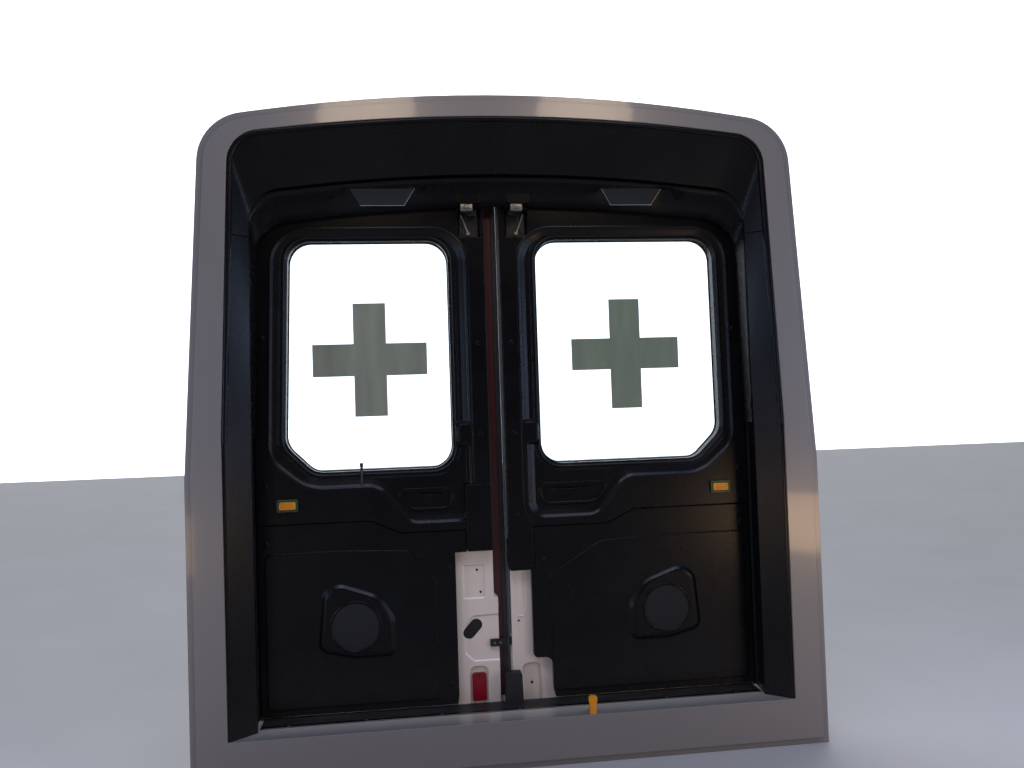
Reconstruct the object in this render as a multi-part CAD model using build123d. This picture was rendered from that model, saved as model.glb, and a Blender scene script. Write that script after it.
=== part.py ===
from build123d import *
import os
from collections import namedtuple
from math import atan2, cos, degrees, hypot, radians, sin

os.makedirs("parts", exist_ok=True)

# Rear doors of a van body, hung in the ring of bodywork around them, in millimetres.
# X runs across the vehicle to the right as seen from inside, Y runs rearward, Z up from the load floor.
# The origin lies on the ring's front face, where it joins the rest of the body.

# Driving sizes of the body ring
ring_depth = 220
body_half_width = 965
body_lean = 60
body_half_width_top = body_half_width - body_lean
body_crown_height = 1900
body_crown_rise = 78
body_shoulder_height = body_crown_height - body_crown_rise
body_belt_height = 760
body_bottom = -140
body_corner_radius = 150
body_rear_edge_radius = 28
belt_radius = 900
crown_share = 0.8
sill_top = 4
pocket_depth = 138
web_thickness = 28
web_cover = 4
rebate_front = pocket_depth + web_thickness
rebate_width = 55
rebate_bottom = sill_top - 66
flange_width = 18
flange_depth = 7

# Driving sizes of the door opening, which lies inside the ring
pillar_width = 169
opening_half_width = body_half_width - pillar_width
opening_lean = 16
opening_half_width_top = opening_half_width - opening_lean
opening_belt_height = 880
header_height = 250
opening_crown_height = body_crown_height - header_height
opening_crown_rise = 54
opening_shoulder_height = opening_crown_height - opening_crown_rise
opening_corner_radius = 110
meeting_line_x = -19

# Driving sizes of the linings, which cover the pillars and the header up to the opening
lining_reveal = 62
lining_half_width = opening_half_width + lining_reveal
lining_lean = 36
lining_half_width_top = lining_half_width - lining_lean
roof_margin = 67
lining_crown_height = body_crown_height - roof_margin
lining_crown_rise = 57
lining_shoulder_height = lining_crown_height - lining_crown_rise
lining_corner_radius = 100
lining_edge = 7
lining_front = 6
lip_reveal = 12
lip_half_width = opening_half_width - lip_reveal
lip_lean = 9
lip_half_width_top = lip_half_width - lip_lean
lip_rise = 21
lip_crown_height = opening_crown_height + lip_rise
lip_shoulder_height = lip_crown_height - opening_crown_rise
lip_corner_radius = 105
lip_depth = 60
lining_joint_drop = 170
lining_joint_height = opening_crown_height - lining_joint_drop
lining_clearance = 0.3

# Driving sizes of the doors, front to back and from the edges inward
seal_space = 10
seal_clearance = 0.3
panel_front = rebate_front + seal_space
panel_inner_thickness = 14
panel_step = panel_front + panel_inner_thickness
panel_side_gap = 6
panel_bottom = rebate_bottom + 10
trim_thickness = 26
trim_front = panel_front - trim_thickness
lower_trim_front = trim_front + 3
trim_inset = 6
trim_bottom = sill_top + 10
joint_gap = 1.5
glass_thickness = 5
glass_lap = 16
film_thickness = 0.6
hinge_outset = 56
hinge_axis_x = opening_half_width + hinge_outset
hinge_axis_y = ring_depth + 12

# Heights on the door trims: the arm rest leads, and the window and the joint between the trims follow it
arm_height = 705
arm_ledge_inset = 117
cup_drop = 121
cup_bottom = arm_height - cup_drop
cup_outer = 300
cup_slope = 96
split_drop = 24
split_height = cup_bottom - split_drop
split_rise = 42
split_start = 30
split_end = 122
window_rise = 48.5
window_bottom = arm_height + window_rise
window_header = 160
window_top = opening_crown_height - window_header
window_corner_radius = 72
window_chamfer = 90
reveal_draft = 5
reveal_wall = 3
reveal_gap = 0.4
recess_margin = 45
recess_header = 128
recess_depth = 12
recess_draft = 11
step_grow = 21
step_draft = 5
step_depth = 18
lug_top = arm_height + 187
lug_bottom = arm_height + 125
lug_radius = 14

# One row for each door, sizes measured outward from the meeting line
Door = namedtuple("Door", "name side skin_edge inner_edge foot_edge window_inner window_margin window_lean "
                          "recess_inner lug_reach cup_inner cup_start moulding_edge metal_edge latch_low")
DOORS = [
    Door("left", -1, 5, 42, 29, 155, 92, 22, 101, 141, 107, 168, 95, 161, 50),
    Door("right", 1, 4, 12, 12, 125, 80, 6, 65, 112, 77, 122, 62, 77, 28),
]
SIDES = [("left", -1), ("right", 1)]


def arch(half_width, half_top, belt, shoulder, crown, corner, bottom):
    """Face across the vehicle: upright sides up to the belt, leaning sides above it and a crowned top."""
    slope = (crown - shoulder) / ((1 - crown_share / 2) * half_top)
    apex = shoulder + slope * half_top
    crown_radius = crown_share * half_top / slope
    points = [(-half_width, bottom), (half_width, bottom), (half_width, belt), (half_top, shoulder),
              (0, apex), (-half_top, shoulder), (-half_width, belt)]
    radii = [0, 0, belt_radius, corner, crown_radius, corner, belt_radius]
    return make_face(Plane.XZ * FilletPolyline(*points, radius=radii, close=True))


def opening(grow, bottom):
    """The door opening's outline, grown outward by the given distance."""
    return arch(opening_half_width + grow, opening_half_width_top + grow, opening_belt_height,
                opening_shoulder_height + grow, opening_crown_height + grow,
                opening_corner_radius + grow, bottom)


def between(face, y_front, y_back):
    """Thicken a face across the vehicle between two stations."""
    return extrude(Pos(0, y_back, 0) * face, amount=y_back - y_front, dir=(0, -1, 0))


def cross_loft(front_face, y_front, back_face, y_back):
    """Straight loft between two faces across the vehicle."""
    return loft([Pos(0, y_front, 0) * front_face, Pos(0, y_back, 0) * back_face], ruled=True)


def outline(points, radii):
    """Face across the vehicle with each corner rounded by its own radius."""
    return make_face(Plane.XZ * FilletPolyline(*points, radius=radii, close=True))


def plate(points, radii, y_front, y_back):
    """Plate across the vehicle, its outline given as X and Z points with a radius at each."""
    return between(outline(points, radii), y_front, y_back)


def panel_plate(x_low, x_high, z_low, z_high, radii, y_front, y_back):
    """Four-cornered plate, its radii given from the lower near corner round."""
    corners = [(x_low, z_low), (x_high, z_low), (x_high, z_high), (x_low, z_high)]
    return plate(corners, radii, y_front, y_back)


def pocket(face, floor_face, y_open, y_floor):
    """Cutter that narrows from an open face to a floor face."""
    return cross_loft(face, y_open - 1, floor_face, y_floor)


def pressing(face, depth, draft):
    """Cutter for a pressed hollow in the inner panel, with sloping sides."""
    return pocket(face, offset(face, -draft), panel_front, panel_front + depth)


def block(x_low, x_high, y_low, y_high, z_low, z_high):
    """Plain box between two corners."""
    size = (x_high - x_low, y_high - y_low, z_high - z_low)
    return Pos((x_low + x_high) / 2, (y_low + y_high) / 2, (z_low + z_high) / 2) * Box(*size)


def across(radius, y_front, y_back, x, z):
    """Round bar or bore that runs front to back."""
    bar = Cylinder(radius, y_back - y_front)
    return Pos(x, (y_front + y_back) / 2, z) * Rot(90, 0, 0) * bar


def mirrored(shape, side):
    """Mirror a shape drawn for the right side when it belongs on the left."""
    return shape if side > 0 else mirror(shape, about=Plane.YZ)


def place(shape, door):
    """Put a shape drawn outward from the meeting line on the left or the right door."""
    return Pos(meeting_line_x, 0, 0) * mirrored(shape, door.side)


def save(shape, node):
    """Write one node."""
    export_step(shape, f"parts/{node}.step")


def edge_of_opening(door):
    """Distance from the meeting line to the opening's side at the belt."""
    return opening_half_width - door.side * meeting_line_x


def beyond(door, inner_edge, y_front, y_back):
    """Block that keeps what lies outward of an edge beside the meeting line."""
    low = body_bottom - 10
    high = body_crown_height + 10
    return place(block(inner_edge, 2 * body_half_width, y_front, y_back, low, high), door)


def window(door, grow):
    """Window outline with rounded corners and a slanted lower outer corner, grown by a distance."""
    outer = edge_of_opening(door) - door.window_margin
    slant = 0.414 * grow
    points = [
        (door.window_inner - grow, window_bottom - grow),
        (outer - window_chamfer + slant, window_bottom - grow),
        (outer + grow, window_bottom + window_chamfer - slant),
        (outer - door.window_lean + grow, window_top + grow),
        (door.window_inner - grow, window_top + grow),
    ]
    return outline(points, [window_corner_radius + 0.6 * grow] * 5)


def recess(door, grow):
    """Sunk field of the upper trim: round the window, down over the arm rest and into the pull cup."""
    outer = edge_of_opening(door) - recess_margin
    top = opening_crown_height - recess_header + grow
    inner = door.recess_inner - grow
    cup = door.cup_inner - grow
    points = [
        (cup, cup_bottom - grow),
        (cup_outer + grow, cup_bottom - grow),
        (cup_outer + cup_slope + grow, arm_height - grow),
        (outer - arm_ledge_inset + grow, arm_height - grow),
        (outer + grow, arm_height + 100),
        (outer - door.window_lean + grow, top),
        (inner, top),
        (inner, lug_top - grow),
        (door.lug_reach - grow, lug_top - grow),
        (door.lug_reach - grow, lug_bottom + grow),
        (cup, lug_bottom + grow),
    ]
    return outline(points, [54, 60, 70, 140, 90, 110, 110] + [lug_radius] * 4)


# Body ring: pillars, roof header and sill in one welded structure
rounding_steps = 5
rounding_start = ring_depth - body_rear_edge_radius


def body_section(inset):
    """Outline of the body, drawn in by a distance."""
    return arch(body_half_width - inset, body_half_width_top - inset, body_belt_height,
                body_shoulder_height - inset, body_crown_height - inset, body_corner_radius - inset,
                body_bottom + inset)


rounding = []
for step in range(rounding_steps + 1):
    angle = radians(90 * step / rounding_steps)
    station = rounding_start + body_rear_edge_radius * sin(angle)
    rounding.append(Pos(0, station, 0) * body_section(body_rear_edge_radius * (1 - cos(angle))))
body_block = between(body_section(0), 0, rounding_start) + loft(rounding, ruled=True)

lining_hole = arch(lining_half_width + lining_clearance, lining_half_width_top + lining_clearance,
                   opening_belt_height, lining_shoulder_height + lining_clearance,
                   lining_crown_height + lining_clearance, lining_corner_radius, sill_top)
rear_frame = body_block - between(lining_hole, -1, pocket_depth)
rear_frame -= between(opening(web_cover, sill_top), pocket_depth - 1, rebate_front + 1)
rear_frame -= between(opening(rebate_width, rebate_bottom), rebate_front, ring_depth + 1)
rear_frame -= between(body_section(-1), -1, flange_depth) - between(body_section(flange_width), -2, flange_depth + 1)

# Pressed steps across the bumper line of the ring, below the doors
step_radius = 14
step_centre = ring_depth + 8
step_height = body_bottom + 34
rear_frame -= Pos(0, step_centre, step_height) * Rot(0, 90, 0) * Cylinder(step_radius, 3 * body_half_width)

# Tail lamps wrap round the rear corners, flush with the bodywork
lamp_low = body_belt_height
lamp_high = lamp_low + 570
lamp_inner_x = lining_half_width + 10
lamp_outer_x = body_half_width + 10
lamp_depth = 46
lamp_gap = 1
lamp_front = ring_depth - lamp_depth
for lamp_name, lamp_side in SIDES:
    seat = block(lamp_inner_x, lamp_outer_x, lamp_front, ring_depth + 1, lamp_low, lamp_high)
    rear_frame -= mirrored(seat, lamp_side)
    lamp_box = block(lamp_inner_x + lamp_gap, lamp_outer_x, lamp_front, ring_depth + 1,
                     lamp_low + lamp_gap, lamp_high - lamp_gap)
    save(body_block & mirrored(lamp_box, lamp_side), f"tail_lamp_{lamp_name}")
save(rear_frame, "rear_frame")

# High stop lamp above the doors
stop_lamp_half_width = 150
stop_lamp_high = body_crown_height - 114
stop_lamp_height = 34
stop_lamp_depth = 9
stop_lamp_draft = 8
stop_lamp_low = stop_lamp_high - stop_lamp_height
stop_lamp_top_half = stop_lamp_half_width - stop_lamp_draft
stop_lamp = plate([(-stop_lamp_half_width, stop_lamp_low), (stop_lamp_half_width, stop_lamp_low),
                   (stop_lamp_top_half, stop_lamp_high), (-stop_lamp_top_half, stop_lamp_high)],
                  [8, 8, 8, 8], ring_depth, ring_depth + stop_lamp_depth)
save(stop_lamp, "high_stop_lamp")

# Linings: one moulded arch that covers the header and both pillars, split at two joints
lining_arch = between(arch(lining_half_width, lining_half_width_top, opening_belt_height, lining_shoulder_height,
                           lining_crown_height, lining_corner_radius, sill_top + lining_clearance),
                      lining_front, pocket_depth)
front_outline = arch(lining_half_width - lining_edge, lining_half_width_top - lining_edge, opening_belt_height,
                     lining_shoulder_height - lining_edge, lining_crown_height - lining_edge,
                     lining_corner_radius - lining_edge, sill_top - 20)
lip_outline = arch(lip_half_width, lip_half_width_top, opening_belt_height, lip_shoulder_height,
                   lip_crown_height, lip_corner_radius, sill_top - 20)
lining_arch -= cross_loft(front_outline, lining_front - 1, lip_outline, lip_depth)
lining_arch -= cross_loft(lip_outline, lip_depth, opening(0, sill_top - 20), pocket_depth + 1)

wide = 2 * body_half_width
header_zone = block(-wide, wide, 0, ring_depth, lining_joint_height, body_crown_height + 10)
save(lining_arch & header_zone, "header_lining")
for lining_name, lining_side in SIDES:
    pillar_zone = block(0, wide, 0, ring_depth, 0, lining_joint_height - joint_gap)
    save(lining_arch & mirrored(pillar_zone, lining_side), f"pillar_lining_{lining_name}")

# Rubber seal round the opening, against which both doors close
seal_inner = 0
seal_outer = 18
seal = between(opening(seal_outer, sill_top - 20), rebate_front, panel_front - seal_clearance)
seal -= between(opening(seal_inner, sill_top - 3), rebate_front - 1, panel_front)
seal_leg = between(opening(web_cover, sill_top), pocket_depth, rebate_front)
seal += seal_leg - between(opening(0, sill_top - 10), pocket_depth - 1, rebate_front + 1)
save(seal, "opening_seal")

# Sill: ribbed black scuff trim and the bright strip along its front edge
scuff_depth = 66
scuff_front = rebate_front - scuff_depth
scuff_height = 3
scuff_half_width = lip_half_width - 2
scuff_top = sill_top + scuff_height
rib_pitch = 9
rib_groove = 3
rib_groove_depth = 1
rib_margin = 20
strip_width = 16
strip_height = 2.5
scuff = block(-scuff_half_width, scuff_half_width, scuff_front, rebate_front, sill_top, scuff_top)
for rib in range(int((scuff_depth - rib_margin) / rib_pitch) + 1):
    rib_y = scuff_front + rib_margin / 2 + rib * rib_pitch
    scuff -= block(rib_margin - scuff_half_width, scuff_half_width - rib_margin, rib_y, rib_y + rib_groove,
                   scuff_top - rib_groove_depth, scuff_top + 1)
save(scuff, "sill_scuff")
strip = block(-scuff_half_width, scuff_half_width, scuff_front - strip_width, scuff_front, sill_top,
              sill_top + strip_height)
strip_edge = strip.edges().filter_by(Axis.X).group_by(Axis.Z)[-1].sort_by(Axis.Y)[0]
save(chamfer(strip_edge, strip_height / 2), "sill_strip")

# Yellow stop that stands on the sill on a short foot
stop_x = 216
stop_width = 26
stop_neck = 20
stop_height = 54
stop_shoulder = 30
stop_front = 6
stop_thickness = 12
stop_foot_depth = 34
stop_foot_height = 5
stop_top = sill_top + stop_height
floor_stop = plate([(stop_x - stop_neck / 2, sill_top), (stop_x + stop_neck / 2, sill_top),
                    (stop_x + stop_neck / 2, sill_top + stop_shoulder), (stop_x + stop_width / 2, stop_top - 16),
                    (stop_x + stop_width / 2, stop_top), (stop_x - stop_width / 2, stop_top),
                    (stop_x - stop_width / 2, stop_top - 16), (stop_x - stop_neck / 2, sill_top + stop_shoulder)],
                   [0, 0, 6, 6, 9, 9, 6, 6], stop_front, stop_front + stop_thickness)
floor_stop += block(stop_x - stop_neck / 2, stop_x + stop_neck / 2, stop_front, stop_front + stop_foot_depth,
                    sill_top, sill_top + stop_foot_height)
save(floor_stop, "floor_stop")

# Block on the sill at the meeting line, which takes the lower bolts
sill_block_low = meeting_line_x - 16
sill_block_high = meeting_line_x + 39
sill_block_top = scuff_top + 96
sill_block_draft = 3
sill_block_depth = 34
sill_block = plate([(sill_block_low, scuff_top), (sill_block_high, scuff_top),
                    (sill_block_high - sill_block_draft, sill_block_top),
                    (sill_block_low + sill_block_draft, sill_block_top)], [0, 0, 7, 7],
                   rebate_front - sill_block_depth, rebate_front)
save(sill_block, "sill_block")

# Upper latch pockets in the edge mouldings, with a striker on the header above each
latch_width = 74
latch_pocket_high = opening_crown_height - 66
latch_pocket_low = latch_pocket_high - 92
latch_pocket_depth = 22
latch_pocket_radius = 5
striker_width = 82
striker_drop = 19
striker_height = 62
striker_taper = 22
striker_foot_inset = 8
striker_wall = 9
striker_depth = 39
striker_back = pocket_depth - 1
striker_front = striker_back - striker_depth
striker_top = lip_crown_height - striker_drop
striker_bottom = striker_top - striker_height
for door in DOORS:
    low = door.latch_low - 1
    high = low + striker_width
    foot_low = low + striker_foot_inset
    foot_high = high - striker_foot_inset
    striker = plate([(foot_low, striker_bottom), (foot_high, striker_bottom),
                     (high, striker_top - striker_taper), (high, striker_top),
                     (low, striker_top), (low, striker_top - striker_taper)], [6, 6, 10, 0, 0, 10],
                    striker_front, striker_back)
    striker -= block(foot_low + striker_wall, foot_high - striker_wall, striker_front + striker_wall,
                     striker_back + 1, striker_bottom - 1, striker_top - 2 * striker_wall)
    save(place(striker, door) - lining_arch, f"upper_striker_{door.name}")

# Loading lamps under the header lip: a smoked lens wider above than below, on a foot
lens_drop = 37
lens_height = 48
lens_width_top = 202
lens_width_bottom = 138
lens_depth_top = 36
lens_depth_bottom = 16
lens_lean = 8
lamp_foot_inset = 19
lamp_foot_front = 14
lamp_foot_back = 6
lamp_y = pocket_depth - 26
lens_top = lip_crown_height - lens_drop
lens_bottom = lens_top - lens_height
LOADING_LAMPS = [("left", -379), ("right", 420)]
for lamp_name, lamp_x in LOADING_LAMPS:
    bottom_face = Pos(lamp_x, lamp_y + lens_lean, lens_bottom) * RectangleRounded(lens_width_bottom,
                                                                                   lens_depth_bottom, 4)
    top_face = Pos(lamp_x, lamp_y, lens_top) * RectangleRounded(lens_width_top, lens_depth_top, 6)
    lamp = loft([bottom_face, top_face], ruled=True)
    foot_half = lens_width_top / 2 - lamp_foot_inset
    lamp += block(lamp_x - foot_half, lamp_x + foot_half, lamp_y - 20 + lamp_foot_front, lamp_y + 20 - lamp_foot_back,
                  lens_top, lip_crown_height)
    save(lamp - lining_arch, f"loading_lamp_{lamp_name}")

# Door hinges: three on each door, leaf, knuckles and pin
hinge_leaf_height = 92
hinge_leaf_thickness = 6
hinge_leaf_radius = 10
hinge_radius = 9
hinge_pin_radius = 4
hinge_bore_clearance = 0.08
hinge_knuckle = 30
hinge_knuckle_gap = 0.6
door_leaf_inner = hinge_axis_x - 66
door_leaf_edge = hinge_axis_x - 13
door_leaf_web = hinge_axis_x - 3
body_leaf_edge = hinge_axis_x + 12
body_leaf_outer = hinge_axis_x + 54
hinge_heights = [sill_top + 66, lamp_low - 100, opening_crown_height - 170]
leaf_back = ring_depth + hinge_leaf_thickness
leaf_radius = hinge_leaf_radius
for hinge_name, hinge_side in SIDES:
    body_leaves = []
    door_leaves = []
    for z in hinge_heights:
        leaf_low = z - hinge_leaf_height / 2
        leaf_high = z + hinge_leaf_height / 2
        pin_place = Pos(hinge_axis_x, hinge_axis_y, z)
        body_leaf = panel_plate(body_leaf_edge, body_leaf_outer, leaf_low, leaf_high,
                                [0, leaf_radius, leaf_radius, 0], ring_depth, leaf_back)
        door_leaf = panel_plate(door_leaf_inner, door_leaf_edge, leaf_low, leaf_high,
                                [leaf_radius, 0, 0, leaf_radius], ring_depth, leaf_back)
        for end in (-1, 1):
            knuckle_z = z + end * (hinge_knuckle + hinge_knuckle_gap)
            body_leaf += Pos(hinge_axis_x, hinge_axis_y, knuckle_z) * Cylinder(hinge_radius, hinge_knuckle)
            body_leaf += block(hinge_axis_x, body_leaf_edge, ring_depth + 0.5, leaf_back,
                               knuckle_z - hinge_knuckle / 2, knuckle_z + hinge_knuckle / 2)
        body_leaf += pin_place * Cylinder(hinge_pin_radius, 3 * hinge_knuckle)
        door_leaf += pin_place * Cylinder(hinge_radius, hinge_knuckle)
        door_leaf += block(door_leaf_edge, door_leaf_web, ring_depth, leaf_back,
                           z - hinge_knuckle / 2, z + hinge_knuckle / 2)
        door_leaf -= pin_place * Cylinder(hinge_pin_radius + hinge_bore_clearance, 4 * hinge_knuckle)
        body_leaves.append(mirrored(body_leaf, hinge_side))
        door_leaves.append(mirrored(door_leaf, hinge_side))
    save(Compound(children=body_leaves), f"hinge_body_leaves_{hinge_name}")
    save(Compound(children=door_leaves), f"hinge_door_leaves_{hinge_name}")

# Sizes of the outer skin: the step round the glass and the swage lines
glass_step_width = 14
glass_step_depth = 1.5
swage_radius = 10
swage_centre = ring_depth + 6
swage_heights = [sill_top + 106, arm_height - 105]
hem_thickness = 7
hem_relief = 4

# Sizes of the pressings that show below the trim beside the meeting line
niche_width = 63
niche_height = 117
niche_depth = 9
left_niche_inner = 65
right_niche_inner = 42
inset_width = 72
inset_low = 333
inset_high = 444
hollow_low = 134
hollow_high = 284
hollow_outer = 141
pressing_depth = 3.5
pressing_draft = 5
niche_draft = 6
groove_radius = 9
groove_depth = 1.4
groove_places = [34, 56]
groove_low = 292
groove_high = 460
slot_length = 72
slot_width = 39
slot_x = 113
slot_z = 238
slot_turn = 47
flange_foot_top = 335

# Sizes of the pieces on the meeting edge
cover_drop = 3
cover_high = arm_height - cover_drop
cover_height = 212
cover_low = cover_high - cover_height
cover_outer = 124
cover_proud = 3
right_moulding_inner = 9
right_moulding_foot = 88
right_moulding_bottom = 421
moulding_jog_low = split_height + 12
moulding_jog_high = split_height + 66
edge_strip_thickness = 2
edge_strip_inner = 15
edge_strip_bottom = sill_top + 16
edge_strip_top = opening_crown_height - 12
meeting_seal_thickness = 7
meeting_seal_wall = 3
meeting_lip_gap = 0.6
meeting_seal_margin = 8
strip_gap = 0.5

# Sizes of the pull cup: a separate insert in the arm rest
cup_rim = 8
cup_rim_proud = 1.5
cup_fit = 0.4
cup_pocket_top = arm_height - 17
cup_pocket_height = 56
cup_pocket_depth = 18
cup_flare = 46
finger_slot_height = 9
finger_slot_drop = 5
finger_slot_inset = 22
finger_slot_depth = 23

# Sizes of the lower trim: raised field, crease and loudspeaker pod
metal_gap = 2
bulge_width = 63
bulge_height = 141
field_margin = 22
field_inset = 64
field_low = sill_top + 32
field_high = split_height - 48
field_crease = split_height - 58
field_shoulder = split_height - 156
field_proud = 4
pod_depth = 14
pod_front = lower_trim_front - pod_depth
grille_reach = 299
grille_z = 278
grille_radius = 72
grille_thickness = 4
grille_rings = 5
grille_pitch = 12
grille_slot = 6
grille_spoke = 5
bowl_depth = 8
# Outline of the pod, from the loudspeaker's centre: X, Z, corner radius
POD = [(-106, -84, 10), (-106, 16, 60), (-66, 78, 80), (52, 120, 40), (86, 96, 22), (100, -62, 20), (6, -84, 60)]

# Sizes of the latches, the release of the door check and the lock pin
bolt_height = 24
bolt_low = sill_top + 176
bolt_high = bolt_low + bolt_height
bolt_reach = 3
bolt_outer = 58
bolt_proud = 5
latch_plate_half = 30
latch_plate_thickness = 2
tongue_height = 20
tongue_low = 24
tongue_high = 10
tongue_proud = 5
latch_rod_radius = 3
latch_rod_offset = 12
latch_rod_x = 20
latch_rod_z = 72
release_inset = 101
release_z = arm_height - 45
release_half_width = 32
release_half_height = 19
release_wall = 5
release_proud = 9
lever_gap = 2
lever_proud = 12
pin_x = cup_outer + cup_slope + 52
pin_height = 68
pin_radius = 4
pin_head_radius = 5.5
pin_head_height = 12
pin_sink = recess_depth / 2 + pin_radius
pin_foot = arm_height + recess_draft * pin_sink / recess_depth + 0.3

# Sizes of the frosted figure on the glass, and of what is fixed to the outer skin
film_height = 365
film_bar = 104
film_drop = 11.5
plate_x = 330
plate_z = 470
plate_half_width = 165
plate_half_height = 84
plate_thickness = 5
plate_lamp_gap = 6
plate_lamp_half_width = 60
plate_lamp_height = 24
plate_lamp_depth = 24
plate_lamp_draft = 8
handle_x = 130
handle_z = arm_height - 45
handle_half_width = 85
handle_half_height = 20
handle_depth = 34
handle_end = 27
handle_foot = 3
handle_grip = 10

for door in DOORS:
    name = door.name
    is_left = door.side < 0
    side_edge = edge_of_opening(door)
    far = 2 * body_half_width
    high = body_crown_height

    # Panel: outer part up to the meeting line, inner part stepped back from it
    grown = opening(rebate_width - panel_side_gap, panel_bottom)
    panel = between(grown, panel_step, ring_depth) & beyond(door, door.skin_edge, 0, ring_depth + 1)
    panel += between(grown, panel_front, panel_step) & beyond(door, door.inner_edge, 0, ring_depth + 1)
    if not is_left:
        relief = block(0, door.skin_edge + hem_relief, panel_step - 1, ring_depth - hem_thickness, body_bottom, high)
        panel -= place(relief, door)
    if door.foot_edge < door.inner_edge:
        foot = block(door.foot_edge, door.inner_edge + 1, panel_front, panel_step, panel_bottom, flange_foot_top)
        panel += place(foot, door)
    glass_front = ring_depth - glass_thickness
    panel -= place(between(window(door, 0), 0, ring_depth + 1), door)
    panel -= place(between(window(door, glass_lap + 1), glass_front, ring_depth + 1), door)
    panel -= place(between(window(door, glass_lap + glass_step_width), ring_depth - glass_step_depth,
                           ring_depth + 1), door)
    for swage_z in swage_heights:
        panel -= Pos(0, swage_centre, swage_z) * Rot(0, 90, 0) * Cylinder(swage_radius, 4 * body_half_width)

    # Pressings that show below the trim beside the meeting line
    niche_inner = left_niche_inner if is_left else right_niche_inner
    niche = outline([(niche_inner, panel_bottom), (niche_inner + niche_width, panel_bottom),
                     (niche_inner + niche_width, sill_top + niche_height), (niche_inner, sill_top + niche_height)],
                    [0, 0, 22, 22])
    panel -= place(pressing(niche, niche_depth, niche_draft), door)
    if is_left:
        inset = outline([(hollow_outer - inset_width, inset_low), (hollow_outer, inset_low),
                         (hollow_outer, inset_high), (hollow_outer - inset_width, inset_high)], [8, 8, 8, 8])
        hollow = outline([(20, hollow_low), (hollow_outer - 29, hollow_low), (hollow_outer, hollow_low + 28),
                          (hollow_outer, hollow_high - 36), (hollow_outer - 29, hollow_high - 2), (20, hollow_high)],
                         [0, 14, 14, 14, 14, 0])
        slot = Pos(slot_x, panel_front + 10, slot_z) * Rot(0, slot_turn, 0) * Rot(90, 0, 0) \
            * extrude(SlotOverall(slot_length, slot_width), amount=12, both=True)
        for cutter in (pressing(inset, pressing_depth, pressing_draft), pressing(hollow, pressing_depth, pressing_draft),
                       slot):
            panel -= place(cutter, door)
        holes = [(94, 425, 4), (84, 354, 4)]
    else:
        for groove_x in groove_places:
            groove = Cylinder(groove_radius, groove_high - groove_low)
            groove_y = panel_front + groove_depth - groove_radius
            panel -= place(Pos(groove_x, groove_y, (groove_low + groove_high) / 2) * groove, door)
        holes = [(73, 54, 4.5), (36, 256, 3.5)]
    for hole_x, hole_z, hole_radius in holes:
        panel -= place(across(hole_radius, panel_front - 1, panel_front + 12, hole_x, hole_z), door)
    save(panel, f"door_panel_{name}")

    # Glass bonded into a rebate of the outer skin, and the frosted figure on its inner face
    glass = between(window(door, glass_lap), glass_front, ring_depth)
    save(place(glass, door), f"window_glass_{name}")
    film_x = (door.window_inner + side_edge - door.window_margin - door.window_lean / 2) / 2
    film_z = (window_bottom + window_top) / 2 - film_drop
    film_front = glass_front - film_thickness
    half = film_height / 2
    bar = film_bar / 2
    figure = block(film_x - half, film_x + half, film_front, glass_front, film_z - bar, film_z + bar)
    figure += block(film_x - bar, film_x + bar, film_front, glass_front, film_z - half, film_z + half)
    save(place(figure, door), f"window_figure_{name}")

    # Moulding along the meeting edge, and on the left the cover over the latch
    if is_left:
        moulding_points = [(door.inner_edge, cover_high + joint_gap), (door.moulding_edge, cover_high + joint_gap),
                           (door.moulding_edge, high), (door.inner_edge, high)]
        moulding_radii = [0, 0, 0, 0]
    else:
        moulding_points = [(right_moulding_inner, right_moulding_bottom), (right_moulding_foot, right_moulding_bottom),
                           (right_moulding_foot, moulding_jog_low), (door.moulding_edge, moulding_jog_high),
                           (door.moulding_edge, high), (right_moulding_inner, high)]
        moulding_radii = [6, 6, 20, 20, 0, 0]
    moulding_plate = place(plate(moulding_points, moulding_radii, trim_front, panel_front), door)
    moulding = moulding_plate & between(opening(-trim_inset, trim_bottom), trim_front, panel_front)
    latch_pocket = place(panel_plate(door.latch_low, door.latch_low + latch_width, latch_pocket_low,
                                     latch_pocket_high, [latch_pocket_radius] * 4, trim_front - 1,
                                     trim_front + latch_pocket_depth), door)
    save(moulding - latch_pocket, f"edge_moulding_{name}")
    if is_left:
        cover = panel_plate(door.inner_edge, cover_outer, cover_low, cover_high, [6, 6, 4, 4],
                            trim_front - cover_proud, panel_front)
        save(place(cover, door), "latch_cover_left")

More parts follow.
